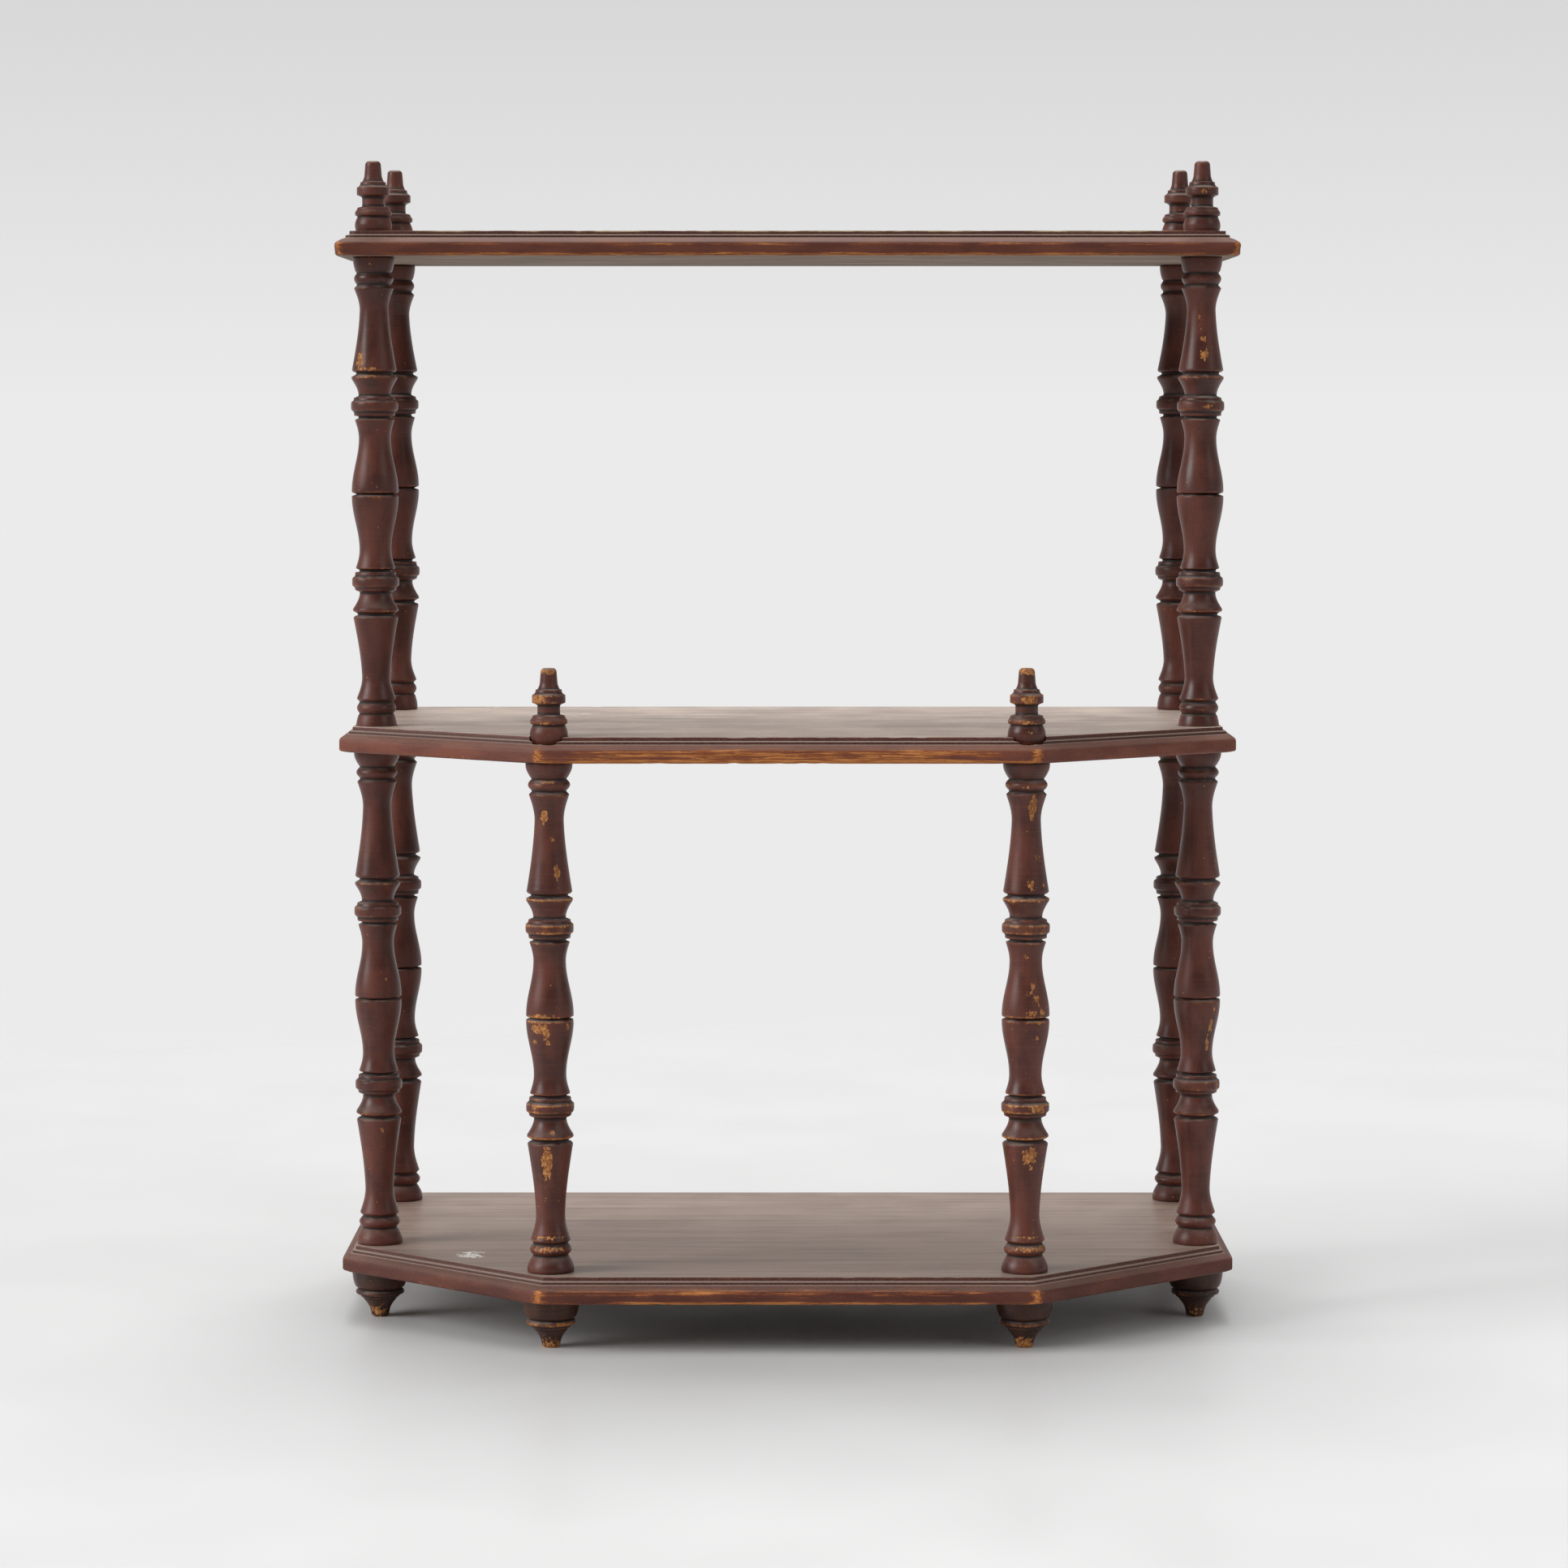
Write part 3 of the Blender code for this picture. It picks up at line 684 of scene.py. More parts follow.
# %% Knocks on the posts
KNOCKS = {
    "lower_spindle_front_left": [
        (0.3370, -95, 10.0, 3.0, 0.95), (0.3164, -107, 4.3, 6.7, 1.2), (0.3026, -75, 2.9, 2.9, 0.8),
        (0.2836, -64, 3.6, 8.1, 0.9), (0.1985, -112, 14, 2.6, 0.8), (0.1913, -114, 11.4, 5.7, 0.9),
        (0.1885, -96, 3.3, 8.6, 0.9), (0.1827, -93, 2.2, 3.0, 1.0), (0.1833, -132, 2.2, 2.2, 1.0),
        (0.1919, -36, 2.9, 3.8, 0.9), (0.1447, -130, 3.3, 2.6, 1.0), (0.1293, -82, 3.2, 2.6, 0.9),
        (0.1112, -98, 5.4, 17, 1.2), (0.0600, -95, 24.0, 3.2, 0.65), (0.0668, -92, 24.0, 1.8, 0.7),
    ],
    "lower_spindle_front_right": [
        (0.3335, -90, 5.2, 2.0, 0.7), (0.3213, -70, 4.0, 12, 1.2), (0.2921, -50, 3.3, 5.7, 0.7),
        (0.2761, -77, 4.3, 5.2, 0.9), (0.2759, -38, 2.6, 2.6, 0.9), (0.2336, -92, 4.8, 1.6, 0.9),
        (0.2161, -70, 3.3, 3.8, 1.0), (0.2119, -82, 4.8, 3.8, 0.7), (0.2090, -64, 4.3, 3.3, 0.9),
        (0.2051, -58, 2.0, 4.3, 0.8), (0.2005, -72, 6.7, 2.9, 1.0), (0.2007, -46, 3.8, 3.3, 0.9),
        (0.1943, -56, 2.9, 2.4, 0.9), (0.1856, -62, 2.9, 3.3, 0.8), (0.1433, -60, 9.1, 3.8, 0.9),
        (0.1154, -80, 7.6, 8.6, 1.05), (0.1086, -74, 2.9, 3.3, 0.9), (0.1085, -30, 1.8, 4.8, 0.9),
        (0.0602, -80, 20.0, 3.2, 0.7), (0.0607, -36, 3.4, 3.8, 0.9), (0.0668, -85, 22.0, 1.8, 0.65),
    ],
    "lower_spindle_side_left": [(0.2088, -63, 2.5, 1.4, 0.9), (0.1163, -77, 2.5, 4.9, 0.9)],
    "lower_spindle_side_right": [
        (0.2791, -31, 1.4, 7.4, 0.9), (0.1898, -44, 2.2, 3.5, 0.9), (0.1796, -49, 3.0, 8.9, 0.9),
        (0.1687, -55, 2.2, 9.9, 0.9), (0.1428, -32, 3.0, 4.5, 0.7),
    ],
    "upper_spindle_side_left": [
        (0.6414, -98, 4.4, 1.6, 0.7), (0.5835, -130, 4.6, 9.5, 1.0), (0.5787, -108, 17, 2.0, 0.8),
        (0.5748, -106, 17, 2.0, 0.8),
    ],
    "upper_spindle_side_right": [
        (0.6089, -98, 3.9, 5.4, 0.5), (0.5968, -87, 3.4, 3.4, 1.0), (0.5876, -88, 5.9, 7.3, 0.7),
        (0.5562, -76, 7.3, 2.0, 0.8),
    ],
    "finial_front_left": [
        (0.4007, -170, 4.0, 4.3, 0.9), (0.4020, -80, 8.0, 4.0, 1.0), (0.3848, -128, 11.0, 5.0, 1.0),
        (0.3709, -95, 9.5, 2.0, 0.7),
    ],
    "finial_front_right": [
        (0.4020, -110, 9.0, 4.6, 1.1), (0.4009, -50, 3.0, 3.3, 0.9), (0.3845, -85, 9.0, 4.2, 1.1),
        (0.3713, -82, 9.5, 2.0, 0.8), (0.3653, -79, 5.2, 4.3, 0.5),
    ],
    "finial_side_right": [(0.6856, -80, 6.8, 2.2, 0.7)],
    "foot_front_left": [(0.0152, -60, 8.0, 3.4, 0.9), (0.0015, -90, 16.0, 9.0, 0.68)],
    "foot_front_right": [(0.0025, -90, 16.0, 9.5, 0.76)],
    "foot_side_left": [(0.0040, -100, 14.0, 9.0, 0.58)],
    "foot_side_right": [(0.0035, -90, 13.0, 8.0, 0.50)],
}
KNOCK_CORE = 1.2
KNOCK_FADE = 0.7
KNOCK_DEPTH = 0.25 * MM
BITE_SIZE = 6 * MM
BITE_START = 0.18
BITE_DEPTH = 0.55 * MM
WOBBLE_SIZE = 17 * MM
WOBBLE_DEPTH = 0.10 * MM


def knock_at(knocks, place, radius, angle):
    """How much a place on a post is inside one of its knocks, from 0 to that knock's share."""
    strongest = 0.0
    for height, direction, width, tall, share in knocks:
        turn = (angle - math.radians(direction) + math.pi) % math.tau - math.pi
        across = turn * radius / (width * MM / 2)
        up = (place.z - height) / (tall * MM / 2)
        strongest = max(strongest, share * min(KNOCK_CORE - KNOCK_FADE * math.hypot(across, up), 1.0))
    return strongest


def weather(bm, axis, knocks):
    """Marks the knocks of a turned piece, and presses knocks, bites and a slight wobble into it."""
    wear = bm.verts.layers.float["wear"]
    chip = bm.verts.layers.float.new("chip")
    for point in bm.verts:
        arm = Vector((point.co.x - axis.x, point.co.y - axis.y, 0.0))
        radius = arm.length
        angle = math.atan2(arm.y, arm.x)
        point[chip] = knock_at(knocks, point.co, radius, angle)
        if radius <= SOCKET_RADIUS * MM:
            continue
        bite = max(noise.noise(point.co / BITE_SIZE) - BITE_START, 0.0) * point[wear] * BITE_DEPTH
        wobble = (0.5 + 0.5 * noise.noise(point.co / WOBBLE_SIZE)) * WOBBLE_DEPTH
        press = bite + wobble + point[chip] * KNOCK_DEPTH
        point.co -= arm * (press / radius)


print("knocks on", len(KNOCKS), "turned pieces")

# %% [markdown]
# ## Turning every post
# All 22 turned pieces go through the same lathe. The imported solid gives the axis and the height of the
# top. Front posts are handled most and back posts least, which sets how far their edges are worn. On the
# front and side posts, what stands on the two upper boards is let into them, since the moulding runs
# under it.

# %% Lathe
SPIN_STEPS = 64
SPIN_MERGE = 0.002 * MM
SMOOTH_ANGLE = math.radians(38)


def spun(bm, merge):
    """Sweeps a wire all the way round the Z axis, and closes the seam and the poles."""
    bmesh.ops.spin(
        bm,
        geom=bm.verts[:] + bm.edges[:],
        cent=(0.0, 0.0, 0.0),
        axis=(0.0, 0.0, 1.0),
        angle=math.tau,
        steps=SPIN_STEPS,
        use_merge=True,
    )
    bmesh.ops.remove_doubles(bm, verts=bm.verts[:], dist=merge)
    bmesh.ops.recalc_face_normals(bm, faces=bm.faces[:])


def in_place_of(node, bm, finishes):
    """Ends a bmesh as a worn piece with its finishes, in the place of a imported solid."""
    piece = object_from(bm, node + "_worn")
    piece.data.shade_smooth()
    piece.data.set_sharp_from_angle(angle=SMOOTH_ANGLE)
    for finish in finishes:
        piece.data.materials.append(finish)
    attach(piece, "root")
    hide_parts(node)
    return piece


print("lathe:", SPIN_STEPS, "steps round")

# %% Turned pieces
HANDLING = {"front": 1.0, "side": 0.60, "back": 0.42}
UPPER_HANDLING = 1.15
LET_IN = {"front": 4.6, "side": 2.6, "back": 0.0}
HANDS = ("left", "right")


def turned_piece(node, outline, handling, slot):
    """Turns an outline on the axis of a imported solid, and puts it in the place of that solid."""
    low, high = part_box(node)
    axis = (low + high) / 2
    bm = wire_of(outline)
    mark_wear(bm, handling)
    spun(bm, SPIN_MERGE)
    bmesh.ops.translate(bm, verts=bm.verts[:], vec=(axis.x, axis.y, high.z))
    weather(bm, axis, KNOCKS.get(node, []))
    return in_place_of(node, bm, [STAINS[slot]])


def spindle_length(node, let_in):
    """Length in mm of a spindle between its boards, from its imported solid."""
    low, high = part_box(node)
    return (high.z - low.z) / MM - PEG_LENGTH + let_in


turned = []
for row, handling in HANDLING.items():
    for hand in HANDS:
        post = f"{row}_{hand}"
        turned.append(turned_piece(f"foot_{post}", with_socket(FOOT_OUTLINE), handling, "foot_stain"))
        lower = f"lower_spindle_{post}"
        shape = spindle_outline(spindle_length(lower, 0.0), *LOWER_ENDS)
        turned.append(turned_piece(lower, with_peg(with_socket(shape), 0.0), handling, "spindle_stain"))
        if row != "front":
            upper = f"upper_spindle_{post}"
            shape = spindle_outline(spindle_length(upper, LET_IN[row]), *UPPER_ENDS)
            shape = with_peg(with_socket(shape), LET_IN[row])
            turned.append(turned_piece(upper, shape, UPPER_HANDLING * handling, "spindle_stain"))
        shape = with_peg(FINIAL_OUTLINE, LET_IN[row])
        turned.append(turned_piece(f"finial_{post}", shape, handling, "finial_stain"))
print("turned:", len(turned), "pieces,", sum(len(piece.data.polygons) for piece in turned), "faces")

# %% [markdown]
# ## Dusty tops, worn edges, bare undersides and painted light
# The tops of the boards are greyed by dust, which was wiped off in streaks along the grain. On the
# middle board the dust is paler and thicker, partly as a painted sheen. One pale scuff lies on the bottom
# board, and small nicks on the middle one. The moulded edges are red-brown, lighter on the middle board
# and darker on the bottom one, partly as painted light. On the front the round of the nose and the lower
# corner are rubbed to orange and ochre. The ledges of the moulding hold dust between risers painted dark
# as shade. The undersides and backs were never stained. Grain could be a picture stretched over a board.
# Noise that is long along the shelf and short across it has its true size everywhere, and runs on round
# the edges.

# %% Dusty top
SCUFF_PLACE = (-0.190, -0.075, 0.0453)
SCUFF_SIZE = (11, 13, 8)
SCUFF = (0.86, 0.82, 0.78)
TOP_DEEP = (0.190, 0.118, 0.090)
TOP_LIGHT = (0.330, 0.235, 0.188)
TOP_VEIN = (0.085, 0.052, 0.040)
TOP_FIBRE = (0.105, 0.068, 0.053)


def dust_and_sheen_top(name, gloss, dust_and_sheen_share, dust_and_sheen_colour, nicked):
    """Wood under a share of dust, on the middle board partly a painted sheen, with the scuff at its
    place, and nicks of a strength.
    """
    finish = Finish(name, gloss)
    band = finish.noise((150, 9, 9), 4.0, 0.6, seed=2.0)
    fibre = finish.noise((26, 0.8, 0.8), 4.0, 0.65, seed=5.0)
    vein = finish.noise((90, 2.2, 2.2), 3.0, 0.6, seed=15.0)
    cloud = finish.noise((52, 52, 46), 5.0, 0.62, seed=8.0)
    grit = finish.noise((1.6, 1.6, 1.6), 3.0, 0.6, seed=12.0)
    wiped = finish.ramp(finish.noise((230, 10, 10), 4.0, 0.68, seed=33.0), 0.44, 0.62)
    wood = finish.mix(finish.ramp(band, 0.34, 0.64), TOP_DEEP, TOP_LIGHT)
    wood = finish.mix(finish.ramp(vein, 0.54, 0.72, 0.0, 0.42), wood, TOP_VEIN)
    wood = finish.mix(finish.ramp(fibre, 0.50, 0.70, 0.0, 0.45), wood, TOP_FIBRE)
    dust = finish.ramp(finish.weigh(0.0, (cloud, 0.6), (fibre, -0.2), (grit, 0.3)), 0.24, 0.48)
    # On the middle board this dust share and colour are also a painted sheen.
    dust = finish.weigh(dust_and_sheen_share, (dust, 0.45), (wiped, -0.26))
    colour = finish.mix(dust, wood, dust_and_sheen_colour)
    steps = [1 / (length * MM) for length in SCUFF_SIZE]
    shift = [-middle * step for middle, step in zip(SCUFF_PLACE, steps)]
    near = finish.add("Mapping", {"Vector": finish.place, "Location": shift, "Scale": steps})
    near = finish.add("VectorMath", {0: near}, "Value", operation="LENGTH")
    wave = finish.noise((10, 14, 9), 3.0, 0.6, seed=40.0)
    line = finish.ramp(finish.math("ABSOLUTE", finish.math("SUBTRACT", wave, 0.5)), 0.060, 0.025)
    nick = finish.ramp(finish.noise((15, 8, 8), 2.0, 0.5, seed=52.0), 0.72, 0.745, 0.0, nicked)
    scuff = finish.math("MAXIMUM", nick, finish.math("MULTIPLY", line, finish.ramp(near, 1.0, 0.7)))
    colour = finish.mix(scuff, colour, SCUFF)
    rough = finish.weigh(0.28, (dust, 0.14), (fibre, 0.10))
    height = finish.weigh(0.0, (fibre, 0.08), (vein, 0.05), (grit, 0.03))
    return finish.surface(colour, rough, height)


# The middle top gets paler dust and more of it, partly as a painted sheen where it meets the pale
# surroundings at a low angle.
TOPS = {
    "bottom_shelf": dust_and_sheen_top("bottom_top", 0.40, 0.32, (0.400, 0.305, 0.252), 0.0),
    "middle_shelf": dust_and_sheen_top("middle_top", 0.70, 0.50, (0.680, 0.555, 0.470), 0.8),
    "top_shelf": dust_and_sheen_top("top_top", 0.70, 0.42, (0.480, 0.395, 0.345), 0.0),
}
print("finishes:", ", ".join(finish.name for finish in TOPS.values()))

# %% Moulded edge
EDGE_GLOSS = 0.25
EDGE_STREAK = (0.050, 0.0175, 0.0130)
PALE_GRAIN = (0.210, 0.072, 0.046)
DARK_GRAIN = (0.040, 0.0145, 0.0110)
EDGE_RUBBED = (0.250, 0.072, 0.026)
EDGE_BARE_DEEP = (0.340, 0.098, 0.027)
EDGE_BARE_LIGHT = (0.620, 0.250, 0.076)
EDGE_CRACK = (0.090, 0.027, 0.016)
RIM_WOOD = (0.600, 0.440, 0.190)
# The risers of the moulding's small steps are painted dark as shade, between these two colours.
RISER_SHADE_DEEP = (0.040, 0.018, 0.014)
RISER_SHADE_LIGHT = (0.115, 0.052, 0.039)
LEDGE_DUST = (0.300, 0.212, 0.172)
LOWER_CORNER = (2.8, 0.9)
RIM_HEIGHT = (13.7, 14.4)
RIM_INSET = (7.4, 8.3)
LEDGE_INSET = (4.9, 5.6)
RUB_OUTSIDE = 1.5
RUB_INSIDE = 1.0


def moulded_edge(name, deep, light, rubbed_from, rubbed_to, rim_worn):
    """A stain between two colours, whose tone is partly painted light, rubbed between two heights in mm
    and, by a share, at the rim.
    """
    finish = Finish(name, EDGE_GLOSS)
    wear = finish.attribute("wear")
    inset = finish.attribute("inset")
    height = finish.attribute("height")
    tip = finish.attribute("tip")
    streak = finish.noise((30, 1.1, 1.1), 5.0, 0.65, seed=3.0)
    fibre = finish.noise((14, 0.6, 0.6), 4.0, 0.65, seed=13.0)
    fleck = finish.noise((3.2, 1.5, 1.5), 4.0, 0.65, seed=6.0)
    patch = finish.noise((30, 30, 8), 2.0, seed=9.0)
    stain = finish.mix(finish.ramp(patch, 0.34, 0.66), deep, light)
    stain = finish.mix(finish.ramp(streak, 0.52, 0.72, 0.0, 0.40), stain, EDGE_STREAK)
    grain = finish.noise((1.0, 1.0, 0.7), 3.0, 0.7, seed=19.0)
    stain = finish.mix(finish.ramp(grain, 0.50, 0.75, 0.0, 0.40), stain, PALE_GRAIN)
    stain = finish.mix(finish.ramp(grain, 0.50, 0.28, 0.0, 0.45), stain, DARK_GRAIN)
    corner = finish.ramp(height, *LOWER_CORNER)
    lower = finish.ramp(height, rubbed_from - RUB_OUTSIDE, rubbed_from + RUB_INSIDE)
    upper = finish.ramp(height, rubbed_to + RUB_OUTSIDE, rubbed_to - RUB_INSIDE)
    rub = finish.math("MULTIPLY", lower, upper)
    rim = finish.math("MULTIPLY", finish.ramp(height, *RIM_HEIGHT), finish.ramp(inset, *RIM_INSET))
    proud = finish.weigh(0.0, (corner, 0.54), (rub, 0.34), (rim, rim_worn))
    exposed = finish.weigh(finish.math("MULTIPLY", proud, wear), (tip, 0.70))
    torn = finish.weigh(-1.10, (exposed, 1.0), (streak, 1.40), (fleck, 0.30), (patch, 0.48))
    rubbed = finish.ramp(torn, 0.20, 0.38)
    bare = finish.ramp(torn, 0.38, 0.50)
    colour = finish.mix(rubbed, stain, EDGE_RUBBED)
    wood = finish.mix(finish.ramp(fibre, 0.38, 0.62), EDGE_BARE_DEEP, EDGE_BARE_LIGHT)
    wood = finish.mix(finish.ramp(fibre, 0.40, 0.30, 0.0, 0.8), wood, EDGE_CRACK)
    wood = finish.mix(rim, wood, RIM_WOOD)
    colour = finish.mix(bare, colour, wood)
    inner = finish.ramp(inset, *LEDGE_INSET)
    up = finish.facing_up()
    flat = finish.math("MULTIPLY", inner, finish.ramp(up, 0.45, 0.95))
    # The risers of the steps get a painted shade, with a little grain in it.
    riser = finish.weigh(0.0, (inner, 0.90), (flat, -0.90), (rim, -0.60))
    riser_shade = finish.mix(finish.ramp(grain, 0.35, 0.65), RISER_SHADE_DEEP, RISER_SHADE_LIGHT)
    colour = finish.mix(riser, colour, riser_shade)
    settled = finish.weigh(0.0, (flat, 0.80), (finish.ramp(up, 0.40, 0.85), 0.32))
    dusty = finish.math("MULTIPLY", settled, finish.ramp(fleck, 0.30, 0.55, 0.65, 1.0))
    colour = finish.mix(dusty, colour, LEDGE_DUST)
    rough = finish.weigh(0.45, (bare, 0.22), (dusty, 0.40), (fleck, 0.10))
    relief = finish.weigh(0.0, (streak, 0.10), (fleck, 0.06), (bare, -0.12))
    relief = finish.math("MULTIPLY", relief, finish.math("SUBTRACT", 1.0, flat))
    return finish.surface(colour, rough, relief)


# The edge stains are partly painted light: lighter on the middle board, darker on the bottom one.
EDGES = {
    "bottom_shelf": moulded_edge(
        "bottom_edge", (0.088, 0.0257, 0.0166), (0.124, 0.0383, 0.0252), 5.4, 8.8, 0.22
    ),
    "middle_shelf": moulded_edge(
        "middle_edge", (0.150, 0.0470, 0.0310), (0.206, 0.0690, 0.0460), 0.8, 8.4, 0.08
    ),
    "top_shelf": moulded_edge(
        "top_edge", (0.114, 0.0343, 0.0222), (0.158, 0.0500, 0.0326), 6.2, 7.8, 0.46
    ),
}
print("finishes:", ", ".join(finish.name for finish in EDGES.values()))

# %% Bare underside
UNDER_GLOSS = 0.30
UNDER_DEEP = (0.185, 0.138, 0.106)
UNDER_LIGHT = (0.330, 0.262, 0.205)
UNDER_FIBRE = (0.100, 0.068, 0.050)
UNDER_STAIN = (0.140, 0.102, 0.080)


def bare_underside():
    """Dry wood, greyed by age and a little stained."""
    finish = Finish("bare_underside", UNDER_GLOSS)
    band = finish.noise((140, 7, 7), 4.0, seed=21.0)
    fibre = finish.noise((40, 1.2, 1.2), 4.0, 0.6, seed=24.0)
    cloud = finish.noise((48, 16, 16), 3.0, seed=27.0)
    wood = finish.mix(finish.ramp(band, 0.32, 0.66), UNDER_DEEP, UNDER_LIGHT)
    wood = finish.mix(finish.ramp(fibre, 0.52, 0.74, 0.0, 0.5), wood, UNDER_FIBRE)
    colour = finish.mix(finish.ramp(cloud, 0.42, 0.62, 0.0, 0.55), wood, UNDER_STAIN)
    rough = finish.ramp(fibre, 0.3, 0.7, 0.72, 0.86)
    relief = finish.weigh(0.0, (fibre, 0.14), (band, 0.06))
    return finish.surface(colour, rough, relief)


UNDER_FINISH = bare_underside()
print("finish:", UNDER_FINISH.name)

# %% [markdown]
# ## Boards
# A board starts as one flat face with the outline of its nose. It is extruded to the height of the
# nose, and insets and extrusions climb from there: the round of the nose, a slope, and two small steps
# with sloping ledges up to the flat top. A profile could be swept round the board, but it would have to
# be mitred at every corner, and an inset does that by itself. The face runs past the back of the board,
# where a plane cuts the moulding off, as a saw would. The bores and seats for the turned pieces are cut
# with turned cutters, and a notch in the middle board's back edge with a ball.

# %% Moulded blank
ARRIS = 1.0
NOSE = 5.0
CLIMB = [
    (0.12, 0.95),
    (0.33, 0.80),
    (0.65, 0.60),
    (1.20, 0.80),
    (1.50, 0.80),
    (1.60, 0.65),
    (0.80, 0.30),
    (0.00, 1.40),
    (2.20, 0.60),
    (0.00, 2.10),
]
MOULDING_WIDTH = sum(width for width, rise in CLIMB)
BOARD_THICKNESS = ARRIS + NOSE + sum(rise for width, rise in CLIMB)
EDGE_ROUNDING = 0.22 * MM
SHARP_ANGLE = math.radians(36)
PAST_BACK = 0.030
MARGIN = 2.0


def raised(bm, face, height):
    """Extrudes a face straight up, and gives the raised face back."""
    grown = bmesh.ops.extrude_face_region(bm, geom=[face])["geom"]
    top = next(part for part in grown if isinstance(part, bmesh.types.BMFace))
    bmesh.ops.translate(bm, verts=top.verts[:], vec=(0.0, 0.0, height * MM))
    return top


def moulded_blank(corners, back):
    """A board on its underside at zero, moulded on every side but the back."""
    bm = bmesh.new()
    under = bm.faces.new([bm.verts.new((x, y, ARRIS * MM)) for x, y in corners])
    top = raised(bm, under, NOSE)
    bmesh.ops.recalc_face_normals(bm, faces=bm.faces[:])
    even = {"use_even_offset": True, "use_boundary": True}
    bmesh.ops.inset_region(bm, faces=[under], thickness=ARRIS * MM, depth=ARRIS * MM, **even)
    bmesh.ops.inset_region(bm, faces=[under], thickness=MARGIN * MM, depth=0.0, **even)
    for width, rise in CLIMB:
        if width:
            bmesh.ops.inset_region(bm, faces=[top], thickness=width * MM, depth=rise * MM, **even)
        else:
            ledge = top
            top = raised(bm, ledge, rise)
            bmesh.ops.delete(bm, geom=[ledge], context="FACES_ONLY")
            bmesh.ops.recalc_face_normals(bm, faces=bm.faces[:])
    bmesh.ops.inset_region(bm, faces=[top], thickness=MARGIN * MM, depth=0.0, **even)
    whole = bm.verts[:] + bm.edges[:] + bm.faces[:]
    bmesh.ops.bisect_plane(
        bm, geom=whole, plane_co=(0.0, back, 0.0), plane_no=(0.0, 1.0, 0.0), clear_outer=True
    )
    bmesh.ops.edgeloop_fill(bm, edges=[edge for edge in bm.edges if edge.is_boundary])
    bmesh.ops.recalc_face_normals(bm, faces=bm.faces[:])
    sharp = [edge for edge in bm.edges if edge.calc_face_angle() > SHARP_ANGLE]
    bmesh.ops.bevel(
        bm,
        geom=sharp,
        offset=EDGE_ROUNDING,
        offset_type="OFFSET",
        affect="EDGES",
        segments=2,
        profile=0.5,
        material=-1,
        clamp_overlap=True,
    )
    return bm


print("moulding:", round(MOULDING_WIDTH, 2), "mm wide on a board of", round(BOARD_THICKNESS, 2), "mm")

# %% Bores, seats and a notch
BORE_RADIUS = 6.3
SEAT_ROOM = 0.3
OVERSHOOT = 5.0
CUTTER_MERGE = 0.01 * MM
BOARD_MERGE = 0.003 * MM
NOTCH_BALL = 4.5
NOTCH_DEPTH = 1.6


def bore_cutter(place, seat_diameter, let_in):
    """A turned cutter standing on a board's underside, wider at its top for a piece that is let in."""
    top = BOARD_THICKNESS + OVERSHOOT
    outline = [(0.0, top), (BORE_RADIUS, top), (BORE_RADIUS, -OVERSHOOT), (0.0, -OVERSHOOT)]
    if let_in:
        seat = seat_diameter / 2 + SEAT_ROOM
        floor_height = BOARD_THICKNESS - let_in
        outline[1:2] = [(seat, top), (seat, floor_height), (BORE_RADIUS, floor_height)]
    bm = bmesh.new()
    points = [bm.verts.new((radius * MM, 0.0, height * MM)) for radius, height in outline]
    for pair in zip(points, points[1:]):
        bm.edges.new(pair)
    spun(bm, CUTTER_MERGE)
    bmesh.ops.translate(bm, verts=bm.verts[:], vec=place)
    return object_from(bm, "bore_cutter")


def notch_cutter(place):
    """A ball that dips into the top of a board by the depth of a notch."""
    bm = bmesh.new()
    bmesh.ops.create_icosphere(bm, subdivisions=3, radius=NOTCH_BALL * MM)
    bmesh.ops.translate(bm, verts=bm.verts[:], vec=place)
    bmesh.ops.translate(bm, verts=bm.verts[:], vec=(0.0, 0.0, (NOTCH_BALL - NOTCH_DEPTH) * MM))
    return object_from(bm, "notch_cutter")


def cut_away(bm, cutters):
    """Cuts every cutter out of a blank, and gives a new bmesh back."""
    blank = object_from(bm, "blank")
    for cutter in cutters:
        cut = blank.modifiers.new("cut", "BOOLEAN")
        cut.operation = "DIFFERENCE"
        cut.solver = "EXACT"
        cut.object = cutter
    depsgraph = bpy.context.evaluated_depsgraph_get()
    result = bmesh.new()
    result.from_object(blank, depsgraph)
    for used in [blank] + cutters:
        bpy.data.objects.remove(used, do_unlink=True)
    bmesh.ops.remove_doubles(result, verts=result.verts[:], dist=BOARD_MERGE)
    return result


print("bores:", 2 * BORE_RADIUS, "mm across")

# %% [markdown]
# ## Wear along the moulding
# The vertices of a board carry four attributes. The inset from the nose and the height, in mm, tell the
# finish where on the moulding it is. Wear says how much this stretch of edge is worn, less towards the
# corners of the plan, and tip says how near such a corner is. A mask could be painted instead, but these
# follow the moulding to any size. Its long edges are subdivided first, so that it can be pressed in where
# it has lost bites of wood, most at the lower corner, the upper rim and the corners of the plan. The
# front corners of the top board are rounded instead.

# %% Marks and bites of a board
FINE_STEP = 2.6 * MM
SIDE_LENGTHS = ((20, 60), (60, 130), (130, 200), (200, 260), (260, 320), (400, 600))
EDGE_BITE_SIZE = 8 * MM
EDGE_BITE_START = 0.12
EDGE_BITE = 1.1 * MM
BITTEN_ANYWHERE = 0.12
BITTEN_LOW = 0.4
LOW_EDGE = 2.0
PAST_MOULDING = 0.5
CORNER_REACH = 8 * MM
CORNER_BITE = 0.8 * MM
WEAR_TAPER = 65 * MM
WEAR_AT_CORNER = 0.35
SIDE_CORNER_WEAR = 0.3
ROUNDER_BELOW = 5.0
ROUNDER_BY = 1.4


